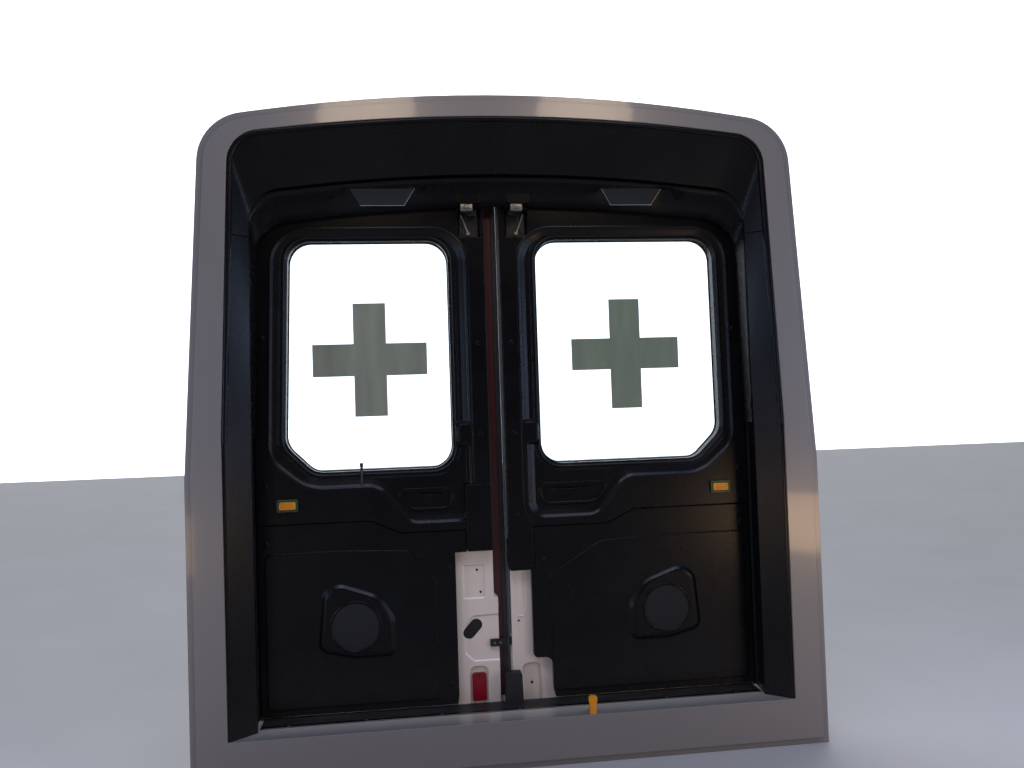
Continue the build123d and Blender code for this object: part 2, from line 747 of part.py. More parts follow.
    # Upper trim: moulded skin with the window recess in two steps and the arm rest
    edge_x = door.moulding_edge + joint_gap
    zone = [(edge_x, split_height), (cup_outer + split_start, split_height),
            (cup_outer + split_end, split_height + split_rise), (far, split_height + split_rise),
            (far, high), (edge_x, high)]
    upper = place(plate(zone, [0, 40, 40, 0, 0, 0], trim_front, panel_front), door)
    upper &= between(opening(-trim_inset, trim_bottom), trim_front, panel_front)
    if is_left:
        upper -= place(block(0, cover_outer + joint_gap, 0, ring_depth, 0, cover_high + joint_gap), door)
    else:
        upper -= place(block(0, right_moulding_foot + joint_gap, 0, ring_depth, 0, moulding_jog_low), door)
        upper -= Pos(joint_gap, 0, 0) * moulding_plate
    recess_floor = trim_front + recess_depth
    upper -= place(pocket(recess(door, 0), recess(door, -recess_draft), trim_front, recess_floor), door)
    lug = block(0, door.lug_reach + recess_draft, trim_front, panel_front, lug_bottom - recess_draft,
                lug_top + recess_draft)
    step = pocket(window(door, step_grow), window(door, step_grow - step_draft), recess_floor, trim_front + step_depth)
    upper -= place(step - lug, door)
    reveal_front = trim_front + step_depth
    upper -= place(between(window(door, reveal_draft), 0, ring_depth), door)
    collar = cross_loft(window(door, reveal_draft + reveal_wall), reveal_front, window(door, -reveal_gap), panel_front)
    collar += between(window(door, -reveal_gap), panel_front, glass_front - reveal_gap)
    collar -= cross_loft(window(door, reveal_draft), reveal_front, window(door, -reveal_wall), panel_front)
    collar -= between(window(door, -reveal_wall), panel_front - 1, ring_depth)
    upper += place(collar, door)

    # Pull cup: a moulded insert with a proud rim, clipped into the arm rest
    slot_low = cup_pocket_top - cup_pocket_height
    slot_points = [(door.cup_start, slot_low), (cup_outer - 6, slot_low), (cup_outer - 6 + cup_flare, cup_pocket_top),
                   (door.cup_start, cup_pocket_top)]
    cup_slot = outline(slot_points, [30, 40, 10, 12])
    cup_outline = offset(cup_slot, cup_rim)
    upper -= place(between(offset(cup_slot, cup_rim + cup_fit), 0, ring_depth), door)
    save(upper - latch_pocket, f"upper_trim_{name}")
    cup = between(cup_outline, recess_floor - cup_rim_proud, panel_front)
    cup -= between(cup_slot, 0, trim_front + cup_pocket_depth)
    finger_high = cup_pocket_top - finger_slot_drop
    cup -= panel_plate(door.cup_start + finger_slot_inset, cup_outer - finger_slot_inset,
                       finger_high - finger_slot_height, finger_high, [4, 4, 4, 4], trim_front,
                       trim_front + finger_slot_depth)
    save(place(cup, door), f"pull_cup_{name}")

    # Lower trim: flat moulding with a raised field and the loudspeaker pod, cut away round the bare metal
    split_low = split_height - joint_gap
    metal_x = door.metal_edge + metal_gap
    top_points = [(far, split_low + split_rise), (cup_outer + split_end, split_low + split_rise),
                  (cup_outer + split_start, split_low)]
    if is_left:
        inner_points = [(cover_outer + joint_gap, split_low), (cover_outer + joint_gap, cover_low - joint_gap),
                        (metal_x, cover_low - joint_gap), (metal_x, 40), (metal_x + 6, 0)]
        inner_radii = [0, 0, 0, 10, 0]
    else:
        foot_x = right_moulding_foot + joint_gap
        bulge_x = metal_x + bulge_width - 2
        inner_points = [(foot_x, split_low), (foot_x, right_moulding_bottom - 4),
                        (metal_x, right_moulding_bottom - 4), (metal_x, bulge_height), (bulge_x, bulge_height),
                        (bulge_x, 40), (bulge_x + 10, 0)]
        inner_radii = [0, 0, 0, 14, 26, 10, 0]
    lower = place(plate(inner_points + [(far, 0)] + top_points, inner_radii + [0, 0, 40, 40],
                        lower_trim_front, panel_front), door)
    lower &= between(opening(-trim_inset, trim_bottom), lower_trim_front, panel_front)
    field_inner = door.metal_edge + field_inset
    field_outer = side_edge - trim_inset - field_margin
    field = outline([(field_inner, field_low), (field_outer, field_low), (field_outer, field_high),
                     (cup_outer + 206, field_high), (cup_outer + 5, field_crease), (field_inner, field_shoulder)],
                    [16, 16, 24, 60, 60, 20])
    lower += place(between(field, lower_trim_front - field_proud, lower_trim_front), door)
    grille_x = side_edge - grille_reach
    pod = outline([(grille_x + x, grille_z + z) for x, z, radius in POD], [radius for x, z, radius in POD])
    lower += place(between(pod, pod_front, lower_trim_front), door)
    lower -= place(across(grille_radius + 1, pod_front - 1, pod_front + bowl_depth, grille_x, grille_z), door)
    save(lower, f"lower_trim_{name}")

    # Loudspeaker grille: a disc with rings of slots between spokes
    grille_back = pod_front + bowl_depth
    grille = across(grille_radius, grille_back - grille_thickness, grille_back, grille_x, grille_z)
    spokes = [Pos(grille_x, 0, grille_z) * Rot(0, angle, 0)
              * block(-grille_radius, grille_radius, -5, ring_depth + 5, -grille_spoke / 2, grille_spoke / 2)
              for angle in (0, 60, 120)]
    for ring in range(1, grille_rings + 1):
        middle = ring * grille_pitch
        slots = across(middle + grille_slot / 2, 0, ring_depth, grille_x, grille_z)
        slots -= across(middle - grille_slot / 2, -1, ring_depth + 1, grille_x, grille_z)
        grille -= slots - spokes[0] - spokes[1] - spokes[2]
    save(place(grille, door), f"speaker_grille_{name}")

    # Upper latch in its pocket: back plate, striker tongue and the rod that works it
    middle = door.latch_low + latch_width / 2
    pocket_floor = trim_front + latch_pocket_depth
    latch = block(middle - latch_plate_half, middle + latch_plate_half, pocket_floor - latch_plate_thickness,
                  pocket_floor, latch_pocket_low + 4, latch_pocket_high - 2)
    latch += block(middle - tongue_low, middle + tongue_high, trim_front - tongue_proud, pocket_floor,
                   latch_pocket_high - 4 - tongue_height, latch_pocket_high - 4)
    rod_middle = (latch_pocket_low + latch_pocket_high) / 2
    latch += Pos(middle + latch_rod_offset, pocket_floor - latch_rod_radius - 1, rod_middle) \
        * Rot(0, -degrees(atan2(latch_rod_x, latch_rod_z)), 0) \
        * Cylinder(latch_rod_radius, hypot(latch_rod_x, latch_rod_z))
    save(place(latch, door), f"upper_latch_{name}")

    # Lower latch, beside the meeting line
    if is_left:
        bolt = block(door.foot_edge, bolt_outer, panel_front - bolt_proud, panel_front, bolt_low, bolt_high)
        bolt_back = panel_step - meeting_seal_thickness - seal_clearance
        bolt += block(bolt_reach, door.foot_edge, panel_front - bolt_proud, bolt_back, bolt_low, bolt_high)
    else:
        bolt = block(door.skin_edge + 1, door.inner_edge, panel_front + bolt_proud, panel_step, bolt_low, bolt_high)
    save(place(bolt, door), f"lower_latch_{name}")

    # Release of the door check, near the hinge side: holder and lever
    release_x = side_edge - release_inset
    floor_y = trim_front - 3
    holder = panel_plate(release_x - release_half_width, release_x + release_half_width,
                         release_z - release_half_height, release_z + release_half_height, [5, 5, 5, 5],
                         trim_front - release_proud, trim_front)
    lever_half_width = release_half_width - release_wall - lever_gap
    lever_half_height = release_half_height - release_wall - lever_gap
    holder -= block(release_x - lever_half_width - lever_gap, release_x + lever_half_width + lever_gap,
                    0, floor_y, release_z - lever_half_height - lever_gap, release_z + lever_half_height + lever_gap)
    save(place(holder, door), f"check_release_holder_{name}")
    lever = panel_plate(release_x - lever_half_width, release_x + lever_half_width, release_z - lever_half_height,
                        release_z + lever_half_height, [4, 4, 4, 4], trim_front - lever_proud, floor_y)
    save(place(lever, door), f"check_release_lever_{name}")

    if is_left:
        # Red strip on the meeting flange, with the rubber seal beside it
        foot_x = door.foot_edge - strip_gap
        upper_x = door.inner_edge - strip_gap
        strip_outline = [(edge_strip_inner, edge_strip_bottom), (foot_x, edge_strip_bottom),
                         (foot_x, flange_foot_top + 1), (upper_x, flange_foot_top + 15), (upper_x, edge_strip_top),
                         (edge_strip_inner, edge_strip_top)]
        save(place(plate(strip_outline, [0] * 6, panel_step - edge_strip_thickness, panel_step), door),
             "edge_strip_left")
        seal_low = panel_bottom + meeting_seal_margin
        seal_high = opening_crown_height + rebate_width - panel_side_gap - meeting_seal_margin
        seal_foot = panel_step - meeting_seal_thickness
        meeting_seal = block(door.skin_edge - meeting_seal_wall, edge_strip_inner - 0.3, seal_foot, panel_step,
                             seal_low, seal_high)
        meeting_seal += block(door.skin_edge - meeting_seal_wall, door.skin_edge, seal_foot, ring_depth,
                              seal_low, seal_high)
        meeting_seal += block(meeting_lip_gap - DOORS[1].skin_edge, door.skin_edge, ring_depth - hem_thickness,
                              ring_depth, seal_low, seal_high)
        save(place(meeting_seal, door), "meeting_seal_left")

        # Red reflector in the arched niche
        reflector = panel_plate(niche_inner + 9, niche_inner + niche_width - 9, sill_top + 6,
                                sill_top + niche_height - 22, [2, 2, 10, 10], panel_front + 2,
                                panel_front + niche_depth)
        save(place(reflector, door), "reflector_left")

        # Lock pin that stands on the arm rest
        pin_y = trim_front + recess_depth / 2
        pin = Pos(pin_x, pin_y, pin_foot + pin_height / 2) * Cylinder(pin_radius, pin_height)
        pin += Pos(pin_x, pin_y, pin_foot + pin_height - pin_head_height / 2) \
            * Cylinder(pin_head_radius, pin_head_height)
        save(place(pin, door), "lock_pin_left")

        # Blank tray for the number plate on the outer skin, with its lamp
        tray = panel_plate(plate_x - plate_half_width, plate_x + plate_half_width, plate_z - plate_half_height,
                           plate_z + plate_half_height, [12, 12, 12, 12], ring_depth, ring_depth + plate_thickness)
        save(place(tray, door), "plate_tray_left")
        lamp_foot = plate_z + plate_half_height + plate_lamp_gap
        lamp_top = lamp_foot + plate_lamp_height
        top_half = plate_lamp_half_width - plate_lamp_draft
        lamp = plate([(plate_x - plate_lamp_half_width, lamp_foot), (plate_x + plate_lamp_half_width, lamp_foot),
                      (plate_x + top_half, lamp_top), (plate_x - top_half, lamp_top)],
                     [4, 4, 6, 6], ring_depth, ring_depth + plate_lamp_depth)
        save(place(lamp, door), "plate_lamp_left")
    else:
        # Outer handle below the window: a bar on two feet
        grip = panel_plate(handle_x - handle_half_width, handle_x + handle_half_width, handle_z - handle_half_height,
                           handle_z + handle_half_height, [14, 14, 14, 14], ring_depth, ring_depth + handle_depth)
        grip -= block(handle_x - handle_half_width + handle_end, handle_x + handle_half_width - handle_end,
                      ring_depth + handle_foot, ring_depth + handle_depth - handle_grip,
                      handle_z - 2 * handle_half_height, handle_z + 2 * handle_half_height)
        save(place(grip, door), "outer_handle_right")
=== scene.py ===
from collections import namedtuple
from math import cos, pi, radians, sin, tan

import bmesh
import bpy
from mathutils import Matrix, Vector


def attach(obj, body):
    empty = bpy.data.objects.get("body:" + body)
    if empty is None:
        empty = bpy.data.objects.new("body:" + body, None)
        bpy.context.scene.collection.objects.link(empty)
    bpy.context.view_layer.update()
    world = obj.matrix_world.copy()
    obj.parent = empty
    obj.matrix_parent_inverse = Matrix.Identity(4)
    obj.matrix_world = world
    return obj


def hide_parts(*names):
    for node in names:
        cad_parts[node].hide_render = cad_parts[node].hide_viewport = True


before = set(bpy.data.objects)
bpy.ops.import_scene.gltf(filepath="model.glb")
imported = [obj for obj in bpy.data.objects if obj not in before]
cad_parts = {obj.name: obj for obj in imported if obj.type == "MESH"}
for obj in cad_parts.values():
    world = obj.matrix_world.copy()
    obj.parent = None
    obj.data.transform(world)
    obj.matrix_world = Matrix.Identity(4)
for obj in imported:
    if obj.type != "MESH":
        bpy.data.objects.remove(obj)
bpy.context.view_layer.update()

# The pair of rear doors of a van body, in metres, in the same frame as the solids: X to the right as seen
# from inside, Y rearward, Z up from the load floor. Each section below is one piece or group of like pieces.

# Body ring and door panels: deep-drawn sheet steel, spot welded, dipped and sprayed in the body's own
# white enamel. The bare parts of the doors beside the meeting line are in the same paint.


def colour(code):
    """Linear colour from an sRGB hex code."""
    channels = [int(code[place:place + 2], 16) / 255 for place in (1, 3, 5)]
    linear = [c / 12.92 if c <= 0.04045 else ((c + 0.055) / 1.055) ** 2.4 for c in channels]
    return (*linear, 1.0)


FACTOR, FIRST, SECOND, MIXED = 0, 6, 7, 2


def feed(made, node, inputs):
    """Give a node its inputs: nodes and their outputs are linked, and plain values are set on its sockets."""
    for socket, value in dict(inputs).items():
        if isinstance(value, bpy.types.Node):
            value = value.outputs[MIXED if value.bl_idname == "ShaderNodeMix" else 0]
        if isinstance(value, bpy.types.NodeSocket):
            made.node_tree.links.new(value, node.inputs[socket])
        else:
            node.inputs[socket].default_value = value


def add(made, kind, inputs=(), **settings):
    """Add one node to a material with its settings, its input values and its links."""
    node = made.node_tree.nodes.new(kind)
    for setting, value in settings.items():
        setattr(node, setting, value)
    feed(made, node, inputs)
    return node


def material(name):
    """New material, with its shader and the piece's own coordinates, in which every pattern is laid out."""
    made = bpy.data.materials.new(name)
    made.use_nodes = True
    place = add(made, "ShaderNodeTexCoord").outputs["Object"]
    return made, made.node_tree.nodes["Principled BSDF"], place


def dress(made, *nodes):
    """Give solids of the frame their material."""
    for name in nodes:
        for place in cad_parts[name].material_slots:
            place.material = made


# Acrylic enamel, sprayed over dipped steel: gloss under a clear coat, with the faint ripple of sprayed
# paint, a film of road dust and grime that gathers towards the sill. The faces that the vehicle's linings
# hide keep the grey dip primer, with only overspray on them.
enamel, shader, place = material("acrylic_enamel_sprayed")
paint_white = colour("#DDCEBD")
paint_dust = colour("#A89C8E")
primer_grey = colour("#6A6763")
orange_peel = 0.004
dust_patch = 0.35
frame_foot = -0.14
grime_top = 0.3
panel_front, panel_back = 0.012, 0.15
pressed_edge = 0.004
height = add(enamel, "ShaderNodeSeparateXYZ", {"Vector": place})
low = add(enamel, "ShaderNodeMapRange", {"Value": height.outputs["Z"], "From Min": frame_foot,
                                         "From Max": grime_top, "To Min": 0.55, "To Max": 0.12})
clouds = add(enamel, "ShaderNodeTexNoise", {"Vector": place, "Scale": 1 / dust_patch, "Detail": 8,
                                            "Roughness": 0.65})
grime = add(enamel, "ShaderNodeMath", {0: clouds, 1: low}, operation="MULTIPLY")
dusty = add(enamel, "ShaderNodeMix", {FACTOR: grime, FIRST: paint_white, SECOND: paint_dust},
            data_type="RGBA")
overspray = add(enamel, "ShaderNodeMapRange", {"Value": height.outputs["Y"], "From Min": panel_front,
                                               "From Max": panel_back, "To Min": 0.92, "To Max": 0.0})
tone = add(enamel, "ShaderNodeMix", {FACTOR: overspray, FIRST: dusty, SECOND: primer_grey}, data_type="RGBA")
gloss = add(enamel, "ShaderNodeMapRange", {"Value": clouds, "To Min": 0.22, "To Max": 0.42})
ripple = add(enamel, "ShaderNodeTexNoise", {"Vector": place, "Scale": 1 / orange_peel, "Detail": 2})
edge = add(enamel, "ShaderNodeBevel", {"Radius": pressed_edge}, samples=6)
peel = add(enamel, "ShaderNodeBump", {"Height": ripple, "Strength": 0.12, "Distance": 0.0006, "Normal": edge})
feed(enamel, shader, {"Base Color": tone, "Roughness": gloss, "Normal": peel, "Coat Weight": 0.5,
                      "Coat Roughness": 0.08})
dress(enamel, "rear_frame", "door_panel_left", "door_panel_right")

# Arch of the opening and of the linings: upright sides, leaning pillars and a crowned header, as the ring
# is pressed. The seal, the rolled edge and the cove of the linings all follow it.
Arch = namedtuple("Arch", "half_width half_top belt shoulder crown corner bottom")
opening = Arch(0.796, 0.780, 0.880, 1.596, 1.650, 0.110, 0.004)
lining = Arch(0.858, 0.822, 0.880, 1.776, 1.833, 0.100, 0.0043)
crown_share = 0.8
belt_bend = 0.9
near_sill = 0.02


def rounded(points, radii, steps):
    """Closed outline across the vehicle with each corner rounded, as X and Z pairs."""
    result = []
    count = len(points)
    for i, (corner, radius) in enumerate(zip(points, radii)):
        here = Vector(corner)
        back = (Vector(points[i - 1]) - here).normalized()
        ahead = (Vector(points[(i + 1) % count]) - here).normalized()
        if radius == 0:
            result.append((here.x, here.y))
            continue
        half = back.angle(ahead) / 2
        reach = radius / tan(half)
        centre = here + (back + ahead).normalized() * (radius / sin(half))
        start = here + back * reach - centre
        turn = (pi - 2 * half) * (1 if back.x * ahead.y - back.y * ahead.x < 0 else -1)
        for step in range(steps + 1):
            angle = turn * step / steps
            x = start.x * cos(angle) - start.y * sin(angle)
            z = start.x * sin(angle) + start.y * cos(angle)
            result.append((centre.x + x, centre.y + z))
    return result


def arch_path(arch, steps=12):
    """Closed outline of an arch."""
    slope = (arch.crown - arch.shoulder) / ((1 - crown_share / 2) * arch.half_top)
    apex = arch.shoulder + slope * arch.half_top
    points = [(-arch.half_width, arch.bottom), (arch.half_width, arch.bottom), (arch.half_width, arch.belt),
              (arch.half_top, arch.shoulder), (0, apex), (-arch.half_top, arch.shoulder),
              (-arch.half_width, arch.belt)]
    radii = [0, 0, belt_bend, arch.corner, crown_share * arch.half_top / slope, arch.corner, belt_bend]
    return rounded(points, radii, steps)


# Weather seal round the opening: extruded EPDM rubber with a hollow bulb, pushed onto the ring's flange.
# It is matt, with a faint bloom where hands have touched it.
rubber, shader, place = material("epdm_rubber_extruded")
rubber_black = colour("#0D0D0E")
rubber_bloom = colour("#26262A")
bloom_size = 0.06
skin_grain = 1 / 900
patches = add(rubber, "ShaderNodeTexNoise", {"Vector": place, "Scale": 1 / bloom_size, "Detail": 6,
                                             "Roughness": 0.7})
share = add(rubber, "ShaderNodeMapRange", {"Value": patches, "From Min": 0.45, "From Max": 0.8, "To Min": 0.0,
                                           "To Max": 0.6})
tone = add(rubber, "ShaderNodeMix", {FACTOR: share, FIRST: rubber_black, SECOND: rubber_bloom},
           data_type="RGBA")
skin = add(rubber, "ShaderNodeTexNoise", {"Vector": place, "Scale": 1 / skin_grain, "Detail": 2})
rough = add(rubber, "ShaderNodeMapRange", {"Value": patches, "To Min": 0.55, "To Max": 0.8})
dimple = add(rubber, "ShaderNodeBump", {"Height": skin, "Strength": 0.15, "Distance": 0.0004})
feed(rubber, shader, {"Base Color": tone, "Roughness": rough, "Normal": dimple})
leg_front, leg_reach = 0.1385, 0.0036
flange_face, flange_back, flange_reach = 0.166, 0.1684, 0.0178
bulb_radius = 0.0046
bulb_out = 0.0105
bulb_depth = 0.1706
bulb_steps = 8
seal_foot = -0.004


def piece(name, body, made, shape, smooth=38):
    """Turn a finished bmesh into a piece that rides on a body."""
    bmesh.ops.recalc_face_normals(shape, faces=shape.faces)
    mesh = bpy.data.meshes.new(name)
    shape.to_mesh(mesh)
    shape.free()
    for face in mesh.polygons:
        face.use_smooth = True
    mesh.set_sharp_from_angle(angle=radians(smooth))
    mesh.materials.append(made)
    thing = bpy.data.objects.new(name, mesh)
    bpy.context.scene.collection.objects.link(thing)
    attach(thing, body)
    return thing


def swept(shape, path, section, closed=True):
    """Sweep a section, given as offsets outward and in Y, along a path in a plane across the vehicle."""
    count = len(path)
    rings = []
    for i, point in enumerate(path):
        before = Vector(path[i - 1] if closed or i > 0 else path[0])
        after = Vector(path[(i + 1) % count] if closed or i < count - 1 else path[-1])
        run = (after - before).normalized()
        outward = Vector((run.z, 0, -run.x))
        rings.append([shape.verts.new(Vector(point) + outward * out + Vector((0, depth, 0)))
                      for out, depth in section])
    sides = len(section)
    for i in range(count if closed else count - 1):
        near, far = rings[i], rings[(i + 1) % count]
        for t in range(sides):
            n = (t + 1) % sides
            shape.faces.new((near[t], near[n], far[n], far[t]))
    if not closed:
        shape.faces.new(rings[0])
        shape.faces.new(rings[-1])


angles = [step * pi / bulb_steps for step in range(bulb_steps + 1)]
bulb = [(bulb_out + bulb_radius * cos(a), bulb_depth + bulb_radius * sin(a)) for a in angles]
legs = [(0.0003, leg_front), (leg_reach, leg_front), (0.0038, flange_face), (flange_reach, flange_face),
        (flange_reach, flange_back)]
fin = [(0.0008, 0.1722), (-0.0046, 0.1744), (-0.0050, 0.1730), (0.0002, 0.1690)]
seal = bmesh.new()
swept(seal, [(x, 0.0, z if z > near_sill else seal_foot) for x, z in arch_path(opening)], legs + bulb + fin)
bulb_seal = piece("weather_seal", "frame", rubber, seal)
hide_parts("opening_seal")

# Header and pillar linings, door trims: ABS, injection moulded against an etched tool. The fine leather
# grain breaks up the highlights, and the rounded edges catch the light of the windows. Forms that are
# rounded in the mesh itself get the same plastic without the softened edges.
abs_black = colour("#0A0A0B")
abs_worn = colour("#101113")
abs_dust = colour("#3A3733")
grain_cell = 0.0022
wear_patch = 0.18
dust_speck = 1 / 60
dust_top = 0.22
edge_radius = 0.0045


def moulded_abs(name, soft_edges):
    """Grained ABS; soft edges round off the sharp edges of a plain solid in its shading."""
    made, shader, place = material(name)
    height = add(made, "ShaderNodeSeparateXYZ", {"Vector": place})
    clouds = add(made, "ShaderNodeTexNoise", {"Vector": place, "Scale": 1 / wear_patch, "Detail": 9,
                                              "Roughness": 0.7})
    worn = add(made, "ShaderNodeMapRange", {"Value": clouds, "From Min": 0.4, "From Max": 0.75})
    tone = add(made, "ShaderNodeMix", {FACTOR: worn, FIRST: abs_black, SECOND: abs_worn}, data_type="RGBA")
    low = add(made, "ShaderNodeMapRange", {"Value": height.outputs["Z"], "From Min": 0.0,
                                           "From Max": dust_top, "To Min": 0.4, "To Max": 0.02})
    specks = add(made, "ShaderNodeTexNoise", {"Vector": place, "Scale": 1 / dust_speck, "Detail": 6,
                                              "Roughness": 0.8})
    dust = add(made, "ShaderNodeMath", {0: specks, 1: low}, operation="MULTIPLY")
    dusty = add(made, "ShaderNodeMix", {FACTOR: dust, FIRST: tone, SECOND: abs_dust}, data_type="RGBA")
    rough = add(made, "ShaderNodeMapRange", {"Value": clouds, "To Min": 0.23, "To Max": 0.32})
    leather = add(made, "ShaderNodeTexVoronoi", {"Vector": place, "Scale": 1 / grain_cell},
                  feature="SMOOTH_F1")
    relief = {"Height": leather, "Strength": 0.09, "Distance": 0.0005}
    if soft_edges:
        relief["Normal"] = add(made, "ShaderNodeBevel", {"Radius": edge_radius}, samples=8)
    grain = add(made, "ShaderNodeBump", relief)
    feed(made, shader, {"Base Color": dusty, "Roughness": rough, "Normal": grain, "Specular IOR Level": 0.18})
    return made


abs_trim = moulded_abs("abs_moulded_grained", True)
abs_rolled = moulded_abs("abs_moulded_grained_rolled", False)
dress(abs_trim, "header_lining", "pillar_lining_left", "pillar_lining_right", "upper_trim_left",
      "upper_trim_right", "lower_trim_left", "lower_trim_right", "edge_moulding_left", "edge_moulding_right",
      "latch_cover_left", "pull_cup_left", "pull_cup_right", "upper_striker_left", "upper_striker_right")

# Rolled edge of the linings: the ABS moulding curls over in front of the roof lining and the side panels,
# in one piece with the linings. The curl shows as a thin line of light round them.
rolled = bmesh.new()
path = [(x, 0.0, z) for x, z in arch_path(lining) if z > near_sill]
start = path.index(max(path, key=lambda p: p[0] - p[2]))
path = path[start:] + path[:start]
curl = [(-0.0004, 0.0120), (-0.0004, 0.0040), (-0.0025, 0.0016), (-0.0065, 0.0008), (-0.0105, 0.0018),
        (-0.0140, 0.0050), (-0.0158, 0.0100), (-0.0160, 0.0175), (-0.0080, 0.0140)]
swept(rolled, path, curl, closed=False)
piece("lining_rolled_edge", "frame", abs_rolled, rolled)

# Cove of the linings: from the lip the moulding sweeps inward and down towards the doors, steeply under the
# header and gently along the pillars. Round each loading lamp it is let in, so that the whole lens shows.
# Rows are depth, drop at the header and reach at the pillars. Lamps are name, middle X and the rim's side.
COVE = [(0.0592, -0.0100, -0.0100), (0.0602, -0.0004, -0.0004), (0.0636, 0.0026, 0.0024),
        (0.0715, 0.0088, 0.0050), (0.0830, 0.0180, 0.0070), (0.0932, 0.0268, 0.0084),
        (0.1045, 0.0380, 0.0102), (0.1118, 0.0458, 0.0116), (0.1180, 0.0522, 0.0128),
        (0.1352, 0.0640, 0.0150), (0.1372, 0.0634, 0.0144), (0.1372, -0.0010, -0.0010),
        (0.0700, -0.0100, -0.0100)]
cove_steps = 48
LAMPS = [("left", -0.379, 1), ("right", 0.420, -1)]
lens_top, lens_bottom = 1.634, 1.586
half_top, half_bottom = 0.101, 0.069
front_top, front_bottom = 0.0938, 0.1118
lens_lean = (lens_top - lens_bottom) / (front_bottom - front_top)
view_rise = 0.27
lens_clearance = 0.003
lens_margin = 0.032
lens_slack = 0.001
cove = bmesh.new()
rows = []
for depth, drop, reach in COVE:
    arch = opening._replace(half_width=opening.half_width - reach, half_top=opening.half_top - reach,
                            shoulder=opening.shoulder - drop, crown=opening.crown - drop)
    path = [(x, z) for x, z in arch_path(arch, cove_steps) if z > near_sill]
    start = path.index(max(path, key=lambda p: p[0] - p[1]))
    row = []
    for x, z in path[start:] + path[:start]:
        by_lamp = any(abs(x - middle) < half_top + lens_margin for name, middle, shine in LAMPS)
        if by_lamp and depth < front_bottom + lens_slack:
            behind = depth - front_top
            z = max(z, lens_top + lens_clearance + min(-behind * lens_lean, behind * view_rise))
        row.append(cove.verts.new((x, depth, z)))
    rows.append(row)
for near, far in zip(rows, rows[1:] + rows[:1]):
    for i in range(len(near) - 1):
        cove.faces.new((near[i], near[i + 1], far[i + 1], far[i]))
for end in (0, -1):
    cove.faces.new([row[end] for row in rows])
piece("lining_cove", "frame", abs_rolled, cove, 50)

# Push-in caps: ABS rosettes in the colour of the trims, moulded as low domes and pushed through the door
# trims into clips in the steel. Each shows as a small ring of light. Places are from the meeting line.
cap_radius = 0.009
cap_profile = [(0, 0.0028), (cap_radius * 0.6, 0.0026), (cap_radius * 0.92, 0.0016), (cap_radius, 0.0004),
               (cap_radius, -0.001)]
meeting_x = -0.019
trim_face = 0.150
lower_face = 0.153
CAPS = [("trim_left", "left_door", trim_face,
         [(-0.070, 1.150), (-0.070, 0.860), (-0.742, 1.180), (-0.742, 0.720)]),
        ("trim_right", "right_door", trim_face,
         [(0.037, 1.150), (0.037, 0.860), (0.037, 0.600), (0.780, 1.180), (0.780, 0.720)]),
        ("lower_left", "left_door", lower_face,
         [(-0.186, 0.080), (-0.744, 0.080), (-0.744, 0.540), (-0.186, 0.440)]),
        ("lower_right", "right_door", lower_face,
         [(0.170, 0.080), (0.782, 0.080), (0.782, 0.540), (0.115, 0.455)])]


def turned(shape, profile, centre, axis=(0, -1, 0), turns=20):
    """Add a turned form: profile rows are radius and height along the axis, from the centre outward."""
    direction = Vector(axis).normalized()
    side = direction.orthogonal().normalized()
    other = direction.cross(side)
    rings = []
    for radius, rise in profile:
        middle = Vector(centre) + direction * rise
        if radius == 0:
            rings.append([shape.verts.new(middle)])
            continue
        spokes = [side * cos(2 * pi * t / turns) + other * sin(2 * pi * t / turns) for t in range(turns)]
        rings.append([shape.verts.new(middle + spoke * radius) for spoke in spokes])
    for near, far in zip(rings, rings[1:]):
        for t in range(turns):
            n = (t + 1) % turns
            corners = [near[t % len(near)], near[n % len(near)], far[n % len(far)], far[t % len(far)]]
            corners = [v for i, v in enumerate(corners) if v not in corners[:i]]
            if len(corners) > 2:
                shape.faces.new(corners)
    for ends in (rings[0], rings[-1]):
        if len(ends) > 2:
            shape.faces.new(ends)


for name, body, face, places in CAPS:
    shape = bmesh.new()
    for u, z in places:
        turned(shape, cap_profile, (meeting_x + u, face, z))
    piece(f"caps_{name}", body, abs_trim, shape)

# Windows: toughened glass, bonded into the door behind a black border. The glass is clear, with a slight
# green body tint and faint smears that blur what lies behind it.
glass, shader, place = material("toughened_glass_tinted")
glass_tint = colour("#F2F8F4")
smear_size = 0.12
smears = add(glass, "ShaderNodeTexNoise", {"Vector": place, "Scale": 1 / smear_size, "Detail": 8,
                                           "Roughness": 0.75})
haze = add(glass, "ShaderNodeMapRange", {"Value": smears, "From Min": 0.55, "From Max": 0.9, "To Min": 0.0,
                                         "To Max": 0.06})
feed(glass, shader, {"Roughness": haze, "Base Color": glass_tint, "Transmission Weight": 1.0, "IOR": 1.5})
dress(glass, "window_glass_left", "window_glass_right")

Door = namedtuple("Door", "name side body inner outer lean edge_side recess_inner lug_reach cup_inner"
                  " cover_edge")
DOORS = [
    Door("left", -1, "left_door", 0.155, 0.685, 0.022, 0.777, 0.101, 0.141, 0.107, 0.1255),
    Door("right", 1, "right_door", 0.125, 0.735, 0.006, 0.815, 0.065, 0.112, 0.077, None),
]
window_bottom = 0.7535
window_top = 1.490
window_corner = 0.072
window_chamfer = 0.090
chamfer_share = 0.414
corner_share = 0.6


def window_path(door, grow, steps=8):
    """Outline of a door's window, grown outward, in the frame's own X."""
    slant = chamfer_share * grow
    points = [(door.inner - grow, window_bottom - grow),
              (door.outer - window_chamfer + slant, window_bottom - grow),
              (door.outer + grow, window_bottom + window_chamfer - slant),
              (door.outer - door.lean + grow, window_top + grow), (door.inner - grow, window_top + grow)]
    path = rounded(points, [window_corner + corner_share * grow] * 5, steps)
    return [(meeting_x + door.side * u, z) for u, z in path]


